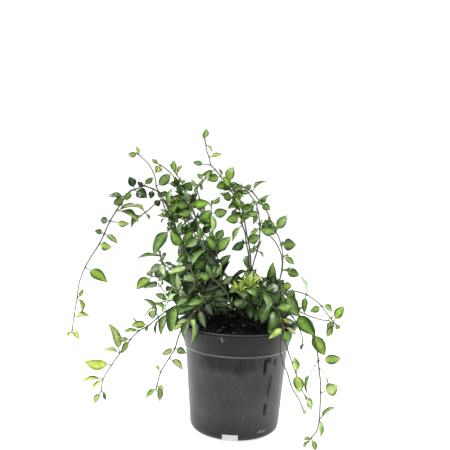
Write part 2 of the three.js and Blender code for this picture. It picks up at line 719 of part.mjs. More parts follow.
function soilGeometry(roots) {
  const side = [
    [0, FLOOR_TOP + GAP],
    [BODY_FOOT_RADIUS - WALL - GAP, FLOOR_TOP + GAP],
    [BODY_TOP_RADIUS - WALL - GAP, COLLAR_BASE - RIM_EDGE],
    [COLLAR_RADIUS - WALL - GAP, COLLAR_BASE + GAP],
    [SOIL_EDGE_RADIUS, SOIL_EDGE_HEIGHT],
  ];
  const top = [...SOIL_RINGS, 0].map((radius) => [radius, POT_HEIGHT]);
  const body = lathe([...side, ...top], SOIL_SIDES);
  const position = body.getAttribute("position");
  for (let i = 0; i < position.count; i += 1) {
    if (position.getZ(i) > SOIL_EDGE_HEIGHT + GAP) {
      position.setZ(i, soilHeight(position.getX(i), position.getY(i)));
    }
  }
  let soil = toSolid(body);
  for (const root of roots) {
    const surface = soilHeight(root.x, root.y);
    const hole = uprightCylinder(HOLE_RADIUS, surface - HOLE_DEPTH, surface + HOLE_DEPTH, HOLE_SIDES);
    soil = soil.subtract(toSolid(hole.translate(root.x, root.y, 0)));
  }
  return toGeometry(soil);
}

// Places as they are seen from the eye

function place(across, up, toward) {
  const onPlane = new THREE.Vector3(across, 0, up);
  return EYE.clone().lerp(onPlane, (-EYE.y - toward) / -EYE.y);
}

function seenAt(point) {
  return EYE.clone().lerp(point, EYE.y / (EYE.y - point.y));
}

function insideOutline(across, up) {
  let inside = false;
  BUSH_OUTLINE.forEach(([across0, up0], i) => {
    const [across1, up1] = BUSH_OUTLINE[(i + 1) % BUSH_OUTLINE.length];
    const crosses = up0 > up !== up1 > up;
    if (crosses && across < across0 + ((across1 - across0) * (up - up0)) / (up1 - up0)) inside = !inside;
  });
  return inside;
}

function seenInBush(point) {
  const seen = seenAt(point);
  const inGap = BUSH_GAPS.some(([across, up, radius]) => Math.hypot(seen.x - across, seen.z - up) < radius);
  return insideOutline(seen.x, seen.z) && !inGap;
}

function clearOfPot(point, room) {
  if (point.z < room) return false;
  const out = Math.hypot(point.x, point.y);
  if (out < RIM_RADIUS - WALL && point.z < soilHeight(point.x, point.y) + room) return false;
  if (point.z > POT_HEIGHT + room) return true;
  const wall = potRadius(point.z);
  return out > wall + room || out < wall - WALL - room;
}

// Stem routes

function stationsOf(vine) {
  const [rootX, rootToward] = vine.root;
  const surface = soilHeight(rootX, -rootToward);
  const foot = new THREE.Vector3(rootX, -rootToward, surface - HOLE_DEPTH + GAP);
  const collar = new THREE.Vector3(rootX, -rootToward, surface + UPRIGHT_RISE);
  const marks = [foot, collar, ...vine.stem.map((mark) => place(...mark))];
  const curve = new THREE.CatmullRomCurve3(marks, false, "centripetal");
  const stations = [{ at: foot, fixed: true, leaves: [] }];
  for (let i = 1; i < marks.length; i += 1) {
    const span = marks[i].distanceTo(marks[i - 1]);
    const byRule = i > 1 && i - 2 <= (vine.hidden ?? -1);
    const spans = Math.round(span / (byRule ? PAIR_SPACING : BEND_SPACING));
    const between = i === 1 ? 0 : spans - (byRule ? 1 : 0);
    for (let k = 1; k <= between; k += 1) {
      const at = curve.getPoint((i - 1 + k / (between + 1)) / (marks.length - 1));
      stations.push({ at, fixed: false, byRule, leaves: [] });
    }
    const leaves = vine.leaves.filter(([mark]) => mark === i - 2);
    stations.push({ at: marks[i], fixed: i === 1, byRule: byRule && leaves.length === 0, leaves });
  }
  return stations;
}

// Where two stems come too near, both give way along the line of sight, so the picture keeps its shape
function partStems(vines) {
  const rods = [];
  vines.forEach((vine, owner) => {
    for (let i = 1; i + 1 < vine.stations.length; i += 1) {
      rods.push({ owner, a: vine.stations[i], b: vine.stations[i + 1] });
    }
  });
  const near = STEM_APART * PUSH_EXCESS;
  for (let pass = 0; pass < PUSH_PASSES; pass += 1) {
    let moved = false;
    for (let i = 0; i < rods.length; i += 1) {
      for (let j = i + 1; j < rods.length; j += 1) {
        if (rods[i].owner === rods[j].owner) continue;
        if (rodBoxesApart(rods[i], rods[j], near)) continue;
        const [s, t] = nearestOnRods(rods[i], rods[j]);
        const p = rods[i].a.at.clone().lerp(rods[i].b.at, s);
        const q = rods[j].a.at.clone().lerp(rods[j].b.at, t);
        if (p.distanceTo(q) >= STEM_APART) continue;
        const beside = Math.hypot(p.x - q.x, p.z - q.z);
        const wanted = Math.sqrt(Math.max(0, near * near - beside * beside));
        const sign = p.y >= q.y ? 1 : -1;
        const push = (wanted - Math.abs(p.y - q.y)) / 2;
        shiftRod(rods[i], s, sign * push);
        shiftRod(rods[j], t, -sign * push);
        moved = true;
      }
    }
    if (!moved) break;
  }
}

function rodBoxesApart(one, two, room) {
  return ["x", "y", "z"].some((axis) => {
    const low1 = Math.min(one.a.at[axis], one.b.at[axis]);
    const high1 = Math.max(one.a.at[axis], one.b.at[axis]);
    const low2 = Math.min(two.a.at[axis], two.b.at[axis]);
    const high2 = Math.max(two.a.at[axis], two.b.at[axis]);
    return low1 > high2 + room || low2 > high1 + room;
  });
}

function nearestOnRods(one, two) {
  const d1 = one.b.at.clone().sub(one.a.at);
  const d2 = two.b.at.clone().sub(two.a.at);
  const r = one.a.at.clone().sub(two.a.at);
  const a = d1.dot(d1);
  const e = d2.dot(d2);
  const b = d1.dot(d2);
  const c = d1.dot(r);
  const f = d2.dot(r);
  const denominator = a * e - b * b;
  let s = denominator > 1e-9 ? THREE.MathUtils.clamp((b * f - c * e) / denominator, 0, 1) : 0.5;
  let t = (b * s + f) / e;
  if (t < 0 || t > 1) {
    t = THREE.MathUtils.clamp(t, 0, 1);
    s = THREE.MathUtils.clamp((b * t - c) / a, 0, 1);
  }
  return [s, t];
}

function shiftRod(rod, share, amount) {
  for (const [end, weight] of [[rod.a, 1 - share], [rod.b, share]]) {
    if (!end.fixed) end.at.y += amount * Math.min(1, LEAST_PUSH + weight);
  }
}

// Room already taken, sorted into cubes so that only near neighbours are measured

const taken = new Map();

function cubesOf(points, room) {
  const box = new THREE.Box3().setFromPoints(points).expandByScalar(room);
  const keys = [];
  for (let x = Math.floor(box.min.x / CUBE); x <= Math.floor(box.max.x / CUBE); x += 1) {
    for (let y = Math.floor(box.min.y / CUBE); y <= Math.floor(box.max.y / CUBE); y += 1) {
      for (let z = Math.floor(box.min.z / CUBE); z <= Math.floor(box.max.z / CUBE); z += 1) {
        keys.push(`${x},${y},${z}`);
      }
    }
  }
  return keys;
}

function take(item) {
  for (const key of cubesOf(item.points, item.room)) {
    if (!taken.has(key)) taken.set(key, []);
    taken.get(key).push(item);
  }
}

const onItem = new THREE.Vector3();
const face = new THREE.Triangle();
const rodLine = new THREE.Line3();

function distanceTo(item, point) {
  if (item.points.length === 3) {
    face.set(...item.points);
    face.closestPointToPoint(point, onItem);
  } else {
    rodLine.set(...item.points);
    rodLine.closestPointToPoint(point, true, onItem);
  }
  return onItem.distanceTo(point);
}

function isFree(point, node) {
  const [key] = cubesOf([point], 0);
  const away = (point.distanceTo(node.at) - NODE_CORE) / (NODE_REACH - NODE_CORE);
  const ease = THREE.MathUtils.clamp(away, 0, 1);
  for (const item of taken.get(key) ?? []) {
    const room = item.nodes.includes(node) ? item.room * ease : item.room;
    if (distanceTo(item, point) < room) return false;
  }
  return true;
}

// Leaves

function acrossTo(vector, axis) {
  return vector.clone().addScaledVector(axis, -vector.dot(axis));
}

// A leaf is three rings of four corners, right, upper, left and lower, between its seat and its tip
function shapeLeaf(seat, tip, width, facing, stalkShare, arch, simple) {
  const reach = tip.clone().sub(seat.at);
  const length = reach.length();
  const along = reach.clone().normalize();
  const up = acrossTo(facing, along).normalize();
  const side = up.clone().cross(along).normalize();
  const rest = 1 - stalkShare;
  const cuts = [[stalkShare, 0], [stalkShare + rest * WIDEST_AT, 1]];
  if (!simple && length > SMALL_LEAF) cuts.push([stalkShare + rest * SHOULDER_AT, SHOULDER_WIDTH]);
  const rings = cuts.map(([share, wide], i) => {
    const middle = seat.at.clone().addScaledVector(reach, share);
    middle.addScaledVector(up, arch * length * 4 * share * (1 - share));
    middle.addScaledVector(seat.normal, (1 - share) * (i === 0 ? STALK_LIFT : BLADE_LIFT));
    const half = i === 0 ? STALK_RADIUS : Math.max(STALK_RADIUS, (wide * width) / 2);
    const thick = i === 0 ? STALK_RADIUS : BLADE_THICKNESS / 2;
    const lift = i === 0 ? 0 : BLADE_FOLD * half;
    return [
      middle.clone().addScaledVector(side, half).addScaledVector(up, lift),
      middle.clone().addScaledVector(up, thick),
      middle.clone().addScaledVector(side, -half).addScaledVector(up, lift),
      middle.clone().addScaledVector(up, -thick),
    ];
  });
  return { seat, tip, rings, foot: footOf(seat, rings[0]) };
}

// The seat's corners, each in line with the corner of the stalk that it is joined to
function footOf(seat, stalk) {
  let foot = seat.corners;
  let least = Infinity;
  for (let turn = 0; turn < 4; turn += 1) {
    const turned = stalk.map((_, k) => seat.corners[(k + turn) % 4]);
    const total = turned.reduce((sum, corner, k) => sum + corner.distanceTo(stalk[k]), 0);
    if (total < least) {
      least = total;
      foot = turned;
    }
  }
  return foot;
}

// The triangles of the band between two rings. Its squares are split so that both halves of a leaf match.
function bandFaces(low, high) {
  const faces = [];
  for (let k = 0; k < 4; k += 1) {
    const next = (k + 1) % 4;
    if (k % 2 === 1) faces.push([low[k], low[next], high[k]], [low[next], high[next], high[k]]);
    else faces.push([low[k], low[next], high[next]], [low[k], high[next], high[k]]);
  }
  return faces;
}

function leafSkin({ foot, rings, tip }) {
  const loops = [foot, ...rings];
  const faces = rings.flatMap((ring, i) => bandFaces(loops[i], ring));
  loops.at(-1).forEach((corner, k, last) => faces.push([corner, last[(k + 1) % 4], tip]));
  return faces;
}

const EDGES = [[0, 1], [1, 2], [2, 0]];
const meeting = { edge: new THREE.Vector3(), side1: new THREE.Vector3(), side2: new THREE.Vector3() };

function edgeCrosses(from, to, [a, b, c]) {
  const { edge, side1, side2 } = meeting;
  edge.subVectors(to, from);
  side1.subVectors(b, a);
  side2.subVectors(c, a);
  const h = edge.clone().cross(side2);
  const scale = side1.dot(h);
  if (Math.abs(scale) < 1e-9) return false;
  const s = from.clone().sub(a);
  const u = s.dot(h) / scale;
  const q = s.cross(side1);
  const v = edge.dot(q) / scale;
  const t = side2.dot(q) / scale;
  const inner = (value) => value > TOUCH && value < 1 - TOUCH;
  return inner(t) && u > TOUCH && v > TOUCH && u + v < 1 - TOUCH;
}

function skinsCross(skin, other) {
  return skin.some((one) => other.some((two) => (
    EDGES.some(([i, j]) => edgeCrosses(one[i], one[j], two) || edgeCrosses(two[i], two[j], one))
  )));
}

function leafFaces(leaf) {
  const middles = leaf.rings.map(([, upper, , lower]) => upper.clone().lerp(lower, 0.5));
  const faces = [];
  const [start] = middles;
  const last = leaf.rings.length - 1;
  for (const edge of [0, 2]) {
    faces.push([start, leaf.rings[1][edge], middles[1]]);
    for (let i = 1; i < last; i += 1) {
      faces.push([leaf.rings[i][edge], middles[i], middles[i + 1]]);
      faces.push([leaf.rings[i][edge], middles[i + 1], leaf.rings[i + 1][edge]]);
    }
    faces.push([leaf.rings[last][edge], middles[last], leaf.tip]);
  }
  return { faces, stalk: [leaf.seat.at, start] };
}

function leafFits(leaf, node, test) {
  const skin = leafSkin(leaf);
  if (node.skins.some((other) => skinsCross(skin, other))) return false;
  const { faces, stalk } = leafFaces(leaf);
  const samples = [stalk[1], stalk[0].clone().lerp(stalk[1], 0.5)];
  for (const [a, b, c] of faces) {
    const longest = Math.max(a.distanceTo(b), b.distanceTo(c), c.distanceTo(a));
    const steps = Math.max(1, Math.ceil(longest / SAMPLE_STEP));
    for (let i = 0; i <= steps; i += 1) {
      for (let j = 0; j <= steps - i; j += 1) {
        const point = a.clone().multiplyScalar(1 - (i + j) / steps);
        samples.push(point.addScaledVector(b, i / steps).addScaledVector(c, j / steps));
      }
    }
  }
  return samples.every((point) => test(point) && clearOfPot(point, POT_ROOM) && isFree(point, node));
}

function takeLeaf(leaf, node) {
  const { faces, stalk } = leafFaces(leaf);
  for (const points of faces) take({ points, room: BLADE_APART, nodes: [node] });
  take({ points: stalk, room: ROD_APART, nodes: [node] });
  node.skins.push(leafSkin(leaf));
}

// The four sides of a node's short lengths of stem, and the stem's end, are the seats that leaves grow from
function seatFor(node, direction) {
  let best = null;
  for (const seat of node.seats) {
    if (seat.leaf) continue;
    const fit = seat.normal.dot(direction);
    if (!best || fit > best.fit + 1e-6) best = { seat, fit };
  }
  return best && best.fit > WORST_SEAT ? best.seat : null;
}

const TRACED_TRIES = [];
for (const shrink of [1, 0.86, 0.72]) {
  for (const shift of [0, 3, -3, 6, -6, 10, -10]) {
    for (const roll of [0, 0.35, -0.35, 0.75, -0.75]) TRACED_TRIES.push({ shrink, shift, roll });
  }
}

function growTracedLeaf(node, mark) {
  const [, across, up, toward, seenWidth, stalkShare = STALK_SHARE] = mark;
  const aim = place(across, up, toward).sub(node.at).normalize();
  const seat = seatFor(node, aim);
  if (!seat) return;
  const lean = spread(TRACED_LEAN);
  for (const { shrink, shift, roll } of TRACED_TRIES) {
    const far = place(across, up, toward + shift);
    const tip = seat.at.clone().lerp(far, shrink);
    const along = tip.clone().sub(seat.at).normalize();
    const blade = tip.distanceTo(seat.at) * (1 - stalkShare);
    const width = Math.max(seenWidth, BLADE_WIDTH_SHARE * blade) * shrink;
    const turn = Math.min(MOST_TURN, Math.acos(Math.min(1, (seenWidth * shrink) / width)));
    const toEye = acrossTo(EYE.clone().sub(tip), along).normalize();
    const turned = [turn, -turn].map((angle) => toEye.clone().applyAxisAngle(along, angle + lean + roll));
    const facing = turned[0].z >= turned[1].z ? turned[0] : turned[1];
    const leaf = shapeLeaf(seat, tip, width, facing, stalkShare, LEAF_ARCH, false);
    if (!leafFits(leaf, node, () => true)) continue;
    seat.leaf = leaf;
    takeLeaf(leaf, node);
    return;
  }
}

const RULE_TRIES = [];
for (const shrink of [1, 0.8, 0.64]) {
  for (const swing of [0, 0.4, -0.4, 0.8, -0.8]) {
    for (const tilt of [0, 0.45, -0.45]) {
      for (const roll of [0, 0.6, -0.6]) RULE_TRIES.push({ shrink, swing, tilt, roll });
    }
  }
}

function growRuleLeaf(node, sideways, tangent, length) {
  const seat = seatFor(node, sideways);
  if (!seat) return;
  const rollStart = spread(PAIR_ROLL);
  for (const { shrink, swing, tilt, roll } of RULE_TRIES) {
    const aim = sideways.clone().applyAxisAngle(tangent, swing);
    aim.addScaledVector(tangent, PAIR_LEAN + tilt);
    aim.z -= PAIR_DROOP;
    aim.normalize();
    const tip = seat.at.clone().addScaledVector(aim, length * shrink);
    const outward = tip.clone().sub(BUSH_CENTRE).normalize();
    outward.add(LIGHT_PULL);
    const facing = acrossTo(outward, aim).normalize().applyAxisAngle(aim, rollStart + roll);
    const width = length * shrink * PAIR_WIDTH_SHARE;
    const leaf = shapeLeaf(seat, tip, width, facing, STALK_SHARE, LEAF_ARCH, true);
    if (!leafFits(leaf, node, seenInBush)) continue;
    seat.leaf = leaf;
    takeLeaf(leaf, node);
    return;
  }
}

// Rings of four corners along the stem, with a short length of stem at each node

function stemRadius(share) {
  return THREE.MathUtils.lerp(ROOT_RADIUS, TIP_RADIUS, share);
}

function ringStem(vine) {
  const { stations } = vine;
  const last = stations.length - 1;
  const travelled = [0];
  for (let i = 1; i <= last; i += 1) {
    travelled.push(travelled[i - 1] + stations[i].at.distanceTo(stations[i - 1].at));
  }
  let side = new THREE.Vector3(1, 0, 0);
  vine.rings = [];
  stations.forEach((station, i) => {
    const before = stations[Math.max(0, i - 1)].at;
    const after = stations[Math.min(last, i + 1)].at;
    const tangent = i <= 1 ? new THREE.Vector3(0, 0, 1) : after.clone().sub(before).normalize();
    station.tangent = tangent;
    side = acrossTo(side, tangent).normalize();
    const wanted = station.wanted && acrossTo(station.wanted, tangent);
    if (wanted && wanted.length() > 0) {
      const across = tangent.clone().cross(side);
      const angle = Math.atan2(wanted.dot(across), wanted.dot(side));
      const quarter = Math.PI / 2;
      side.applyAxisAngle(tangent, angle - quarter * Math.round(angle / quarter));
    }
    const across = tangent.clone().cross(side);
    const radius = stemRadius(travelled[i] / travelled[last]);
    const lengths = station.lengths;
    station.seats = [];
    for (let k = 0; k <= lengths; k += 1) {
      const centre = station.at.clone().addScaledVector(tangent, (k - lengths / 2) * NODE_LENGTH);
      const corners = [-1, 1, 3, 5].map((eighth) => {
        const angle = (eighth * Math.PI) / 4;
        const corner = centre.clone().addScaledVector(side, Math.cos(angle) * radius);
        return corner.addScaledVector(across, Math.sin(angle) * radius);
      });
      vine.rings.push({ corners, centre, station, seats: k < lengths ? [] : null });
    }
    for (let k = 0; k < lengths; k += 1) {
      const ring = vine.rings[vine.rings.length - 1 - lengths + k];
      const centre = station.at.clone().addScaledVector(tangent, (k + 0.5 - lengths / 2) * NODE_LENGTH);
      const { corners: low } = ring;
      const { corners: high } = vine.rings[vine.rings.length - lengths + k];
      [side, across, side.clone().negate(), across.clone().negate()].forEach((normal, edge) => {
        const next = (edge + 1) % 4;
        const at = centre.clone().addScaledVector(normal, radius * Math.SQRT1_2);
        const corners = [low[edge], low[next], high[next], high[edge]];
        const seat = { at, normal: normal.clone(), corners, leaf: null };
        station.seats.push(seat);
        ring.seats.push(seat);
      });
    }
    if (i === last) {
      const { centre, corners } = vine.rings[vine.rings.length - 1];
      vine.endSeat = { at: centre, normal: tangent.clone(), corners, leaf: null };
      if (station.leaves.length) station.seats.push(vine.endSeat);
    }
  });
}

function takeStem(vine) {
  vine.stations.forEach((station, i) => {
    const near = vine.rings.filter((ring) => Math.abs(vine.stations.indexOf(ring.station) - i) <= 1);
    const stretch = near.slice(1).flatMap((ring, k) => bandFaces(near[k].corners, ring.corners));
    station.skins = [stretch];
  });
  for (let i = 1; i < vine.stations.length; i += 1) {
    const nodes = [vine.stations[i - 1], vine.stations[i]];
    take({ points: nodes.map((station) => station.at), room: ROD_APART, nodes });
  }
}

// The vine's skin

function buildVine(vine) {
  const faces = [];
  const { rings, endSeat } = vine;
  const [a, b, c, d] = rings[0].corners;
  faces.push([d, c, b], [d, b, a]);
  for (let i = 0; i + 1 < rings.length; i += 1) {
    const band = bandFaces(rings[i].corners, rings[i + 1].corners);
    for (let k = 0; k < 4; k += 1) {
      const leaf = rings[i].seats?.[k].leaf;
      faces.push(...(leaf ? leafSkin(leaf) : band.slice(2 * k, 2 * k + 2)));
    }
  }
  const [e, f, g, h] = endSeat.corners;
  faces.push(...(endSeat.leaf ? leafSkin(endSeat.leaf) : [[e, f, g], [e, g, h]]));
  const places = new Map();
  const index = [];
  for (const corner of faces.flat()) {
    if (!places.has(corner)) places.set(corner, places.size);
    index.push(places.get(corner));
  }
  const geometry = new THREE.BufferGeometry().setFromPoints([...places.keys()]);
  geometry.setIndex(index);
  geometry.computeVertexNormals();
  return geometry;
}

function addPart(group, name, geometry, colour, roughness) {
  const material = new THREE.MeshStandardMaterial({ color: colour, roughness, metalness: 0 });
  const mesh = new THREE.Mesh(geometry, material);
  mesh.name = name;
  group.add(mesh);
}

function growVines() {
  const vines = VINES.map((vine) => ({ ...vine, stations: stationsOf(vine) }));
  partStems(vines);
  for (const vine of vines) {
    for (const station of vine.stations) {
      const leafCount = station.byRule ? 2 : station.leaves.length;
      station.lengths = Math.ceil(leafCount / 2);
      const [mark] = station.leaves;
      if (mark) station.wanted = place(mark[1], mark[2], mark[3]).sub(station.at);
    }
    ringStem(vine);
    takeStem(vine);
  }
  for (const vine of vines) {
    for (const station of vine.stations) {
      for (const mark of station.leaves) growTracedLeaf(station, mark);
    }
  }
  for (const vine of vines) {
    let turned = false;
    for (const station of vine.stations) {
      if (!station.byRule || station.at.z < soilHeight(station.at.x, station.at.y) + BARE_FOOT) continue;
      const length = PAIR_LENGTH * (1 + spread(PAIR_LENGTH_SPREAD));
      const seats = station.seats.slice(0, 4).filter((_, k) => (k % 2 === 1) === turned);
      for (const seat of seats) growRuleLeaf(station, seat.normal, station.tangent, length);
      turned = !turned;
    }
  }
  return vines;
}

const group = new THREE.Group();
const vines = growVines();
const roots = VINES.map(({ root: [across, toward] }) => ({ x: across, y: -toward }));
addPart(group, "pot", potGeometry(), COLOURS.pot, 0.45);
addPart(group, "soil", soilGeometry(roots), COLOURS.soil, 0.95);
for (const vine of vines) addPart(group, vine.name, buildVine(vine), COLOURS.vine, 0.5);

export default group;
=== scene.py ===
"""Potted atropurpurea periwinkle: the finished surfaces of the pot, its soil and its leafy stems.

Lengths are metres, +Z is up, and the photographed front faces -Y. The leafy stems are read from the solids
of the frame. They, the soil and the pot are made again with fine surfaces that keep the solids' form.
"""

import math
import random

import bmesh
import bpy
import numpy as np
from bpy.props import FloatProperty, FloatVectorProperty, IntProperty, PointerProperty
from mathutils import Matrix, Vector, noise


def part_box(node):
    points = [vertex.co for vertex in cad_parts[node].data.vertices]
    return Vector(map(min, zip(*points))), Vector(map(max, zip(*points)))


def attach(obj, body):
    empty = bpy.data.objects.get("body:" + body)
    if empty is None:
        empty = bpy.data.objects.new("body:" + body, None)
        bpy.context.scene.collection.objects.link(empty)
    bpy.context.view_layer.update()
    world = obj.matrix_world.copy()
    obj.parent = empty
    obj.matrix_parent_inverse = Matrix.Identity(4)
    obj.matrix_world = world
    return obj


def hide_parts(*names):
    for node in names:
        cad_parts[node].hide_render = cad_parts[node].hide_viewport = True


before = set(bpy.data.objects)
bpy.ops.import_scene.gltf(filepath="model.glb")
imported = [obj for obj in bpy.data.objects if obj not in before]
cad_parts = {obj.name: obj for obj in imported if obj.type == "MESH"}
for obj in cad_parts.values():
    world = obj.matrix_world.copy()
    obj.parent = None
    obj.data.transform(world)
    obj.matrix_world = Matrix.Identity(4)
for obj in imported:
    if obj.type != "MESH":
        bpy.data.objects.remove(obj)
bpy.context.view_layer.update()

bl_info = {
    "name": "Potted Periwinkle",
    "version": (1, 0, 0),
    "blender": (4, 5, 0),
    "location": "View3D > Sidebar > Periwinkle",
    "description": "Makes a potted periwinkle: the pot, its soil and its leafy stems",
    "category": "Add Mesh",
}

MM = 0.001
POT_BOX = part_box("pot")
POT_HEIGHT = POT_BOX[1][2]
RIM_RADIUS = POT_BOX[1][1]
VINES = sorted(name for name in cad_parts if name.startswith("vine_"))
INNER_VINES = [name for name in VINES if name.startswith(("vine_back_", "vine_front_", "vine_inner_"))]

# The camera stands where the photographer stood, and leans a little to one side
EYE = Vector((-13.9, -700.0, 266.4)) * MM
EYE_PITCH = 0.065
EYE_ROLL = 0.032
EYE_YAW = -0.004
LENS = 52.0

# The way to the main light, above the front and a little to the left
LIGHTWARD = np.array([-0.35, -0.62, 0.7])

# The pot's outline, its floor, the notches under its foot ring and its drain holes, in millimetres
COLLAR_BASE = 91.0
COLLAR_RADIUS = 56.1
BODY_TOP_RADIUS = 55.3
BODY_FOOT_RADIUS = 48.2
WALL = 1.2
FLOOR_UNDERSIDE = 9.0
FLOOR_TOP = 10.5
FOOT_INNER_RADIUS = 37.5
FOOT_ROUND = 7.5
CENTRE_FOOT_RADIUS = 12.0
NOTCHES = 4
NOTCH_WIDTH = 17.0
NOTCH_HEIGHT = 8.0
NOTCH_TURN = math.radians(-96.0)
DRAINS = 6
DRAIN_RADIUS = 4.0
DRAIN_CIRCLE = 25.0

# The pot: the middling radius on which its marks are laid out, and the angle from which an edge is sharp
WALL_RADIUS = 52.0
SHARP_ANGLE = math.radians(38.0)

# The soil's surface in millimetres, by the same formula as the solid's
SOIL_GAP = 0.3
SOIL_EDGE_HEIGHT = 109.0
SOIL_EDGE_RADIUS = 60.6
SOIL_MOUND = 11.0
SOIL_LUMP = 0.9
SOIL_WAVES = ((0.31, 0.12, 0.0), (-0.16, 0.37, 1.3), (0.23, 0.23, 4.0))
CLOD = (50.0, -9.0)
CLOD_RADIUS = 9.0
CLOD_HEIGHT = 9.0

# How a vine is read back from its solid: corners this close are one, a ring this slim is a stalk's, a leaf's
# tip stands this far from its neighbours, and rings this close together make a joint
WELD = 0.01 * MM
STALK_WIDTH = 1.16 * MM
TIP_SPAN = 1.8 * MM
JOINT_STEP = 2.0 * MM

# A stem's joint swells this far along it. A leaf's stalk goes from the first radius to the second
JOINT_REACH = 1.5 * MM
STALK_RADII = 0.62 * MM, 0.36 * MM

# A blade: the depth of the groove over its midrib and its width for each half width, how far the tip is drawn
# out for each length, and the share of the thickness that the margins have
GROOVE = 0.16 * MM
GROOVE_WIDTH = 0.14
DRAWN_OUT = 0.06
THIN = 0.35

# Painted shade: leaves darken a leaf's colour when they stand this close to its way to the light, and this
# near and far along it. More than so many of them make no difference
SHADE_WIDTH = 10 * MM
SHADE_NEAR, SHADE_FAR = 5 * MM, 90 * MM
MOST_SHADE = 4.0

# The angle between one leaf of a shoot and the next
LEAF_TURN = 2.4

# The random draws are seeded for the soil, and for each vine by its number from here on. In them a full turn
# is rounded
SOIL_SEED = 77
VINE_SEED = 1000
FULL_TURN = 6.28

# The slots of a leafy stem's materials
UPPER, UNDER, BARK = 0, 1, 2

# Shader trees: how far apart the nodes stand, how many stand in a row, and which output of the texture
# coordinate node is the place on the object
NODE_SPACING = (220, 260)
NODES_IN_ROW = 8
OBJECT_PLACE = 3

# How many side veins and gaps between them there are along a blade
VEIN_BANDS = 15.4

# The soft lights: the place of each, the height it looks at and its size, in metres
LIGHTS = {
    "key": ((-0.8, -0.8, 2.1), 0.15, 0.7),
    "fill": ((1.5, -0.9, 0.9), 0.15, 1.2),
    "edge.left": ((-1.25, 0.4, 0.35), 0.12, 1.2),
    "edge.right": ((1.2, 0.3, 0.35), 0.12, 1.2),
}

# The floor as shares of its size: the radii of its flat part, the radius and the rise of its upturned edge,
# and the height of the edge's top
FLOOR_RADII = (0.02, 0.2, 0.4)
FLOOR_CURVE = 0.2
FLOOR_TOP_EDGE = 0.33
FLOOR_SIDES = 96
FLOOR_STEPS = 12

# Where leaves are younger and paler, or darker, partly as painted shade, than their place on the stem says:
# across and up in millimetres as seen from the front, the reach of the change, how young, how dark and how
# vivid
TONE_SPOTS = (
    (6, 157, 9, 0.9, -0.3, 0.6),
    (-84, 168, 17, 0.3, -0.3, -0.6),
    (-56, 264, 8, 0.35, -0.2, 0.0),
    (-86, 267, 9, 0.35, -0.2, 0.0),
    (-116, 256, 25, 0.05, 0.9, 0.3),
    (-116, 228, 16, 0.35, 0.0, 0.0),
    (-137, 222, 10, 0.3, -0.2, 0.0),
    (-86, 202, 12, -0.05, 0.3, 0.0),
    (-160, 100, 30, 0.75, -0.3, 0.0),
    (-149, 60, 26, 0.75, -0.3, 0.0),
    (-77, 62, 26, 0.55, -0.2, 0.0),
    (-50, 240, 22, -0.1, 0.35, 0.0),
    (-37, 190, 28, -0.2, 0.35, 0.0),
    (-30, 140, 26, -0.1, 0.25, 0.0),
    (-50, 112, 12, 0.4, -0.2, 0.0),
    (98, 54, 40, 0.6, -0.3, 0.0),
    (70, 161, 8, -0.6, 0.3, -0.4),
    (37, 155, 6, -0.4, 0.7, -0.2),
    (-107, 235, 10, 0.4, -0.8, 0.1),
    (35, 128, 22, -0.2, 0.25, 0.0),
    (-10, 128, 30, -0.15, 0.35, 0.0),
    (30, 142, 24, -0.1, 0.25, -0.1),
    (-12, 300, 20, 0.2, 0.1, 0.0),
    (-25, 138, 60, 0.0, 0.05, -0.6),
    (-42, 215, 34, -0.12, 0.25, 0.1),
)

# Where the leaves are broader than elsewhere: across and up, the reach, and how much broader
BROAD_SPOT = (36.0, 122.0, 22.0)
BROADER = 0.45

# The dense part of the bush, where small leaves open between the large ones, and its low part: the middle
# and the half sizes of each
BUSH = np.array([-22.0, 0.0, 190.0]) * MM, np.array([85.0, 75.0, 78.0]) * MM
LOW = np.array([-8.0, 5.0, 132.0]) * MM, np.array([62.0, 62.0, 32.0]) * MM

# The vine whose bark is nearly black
DARK_VINE = "vine_left_arch"
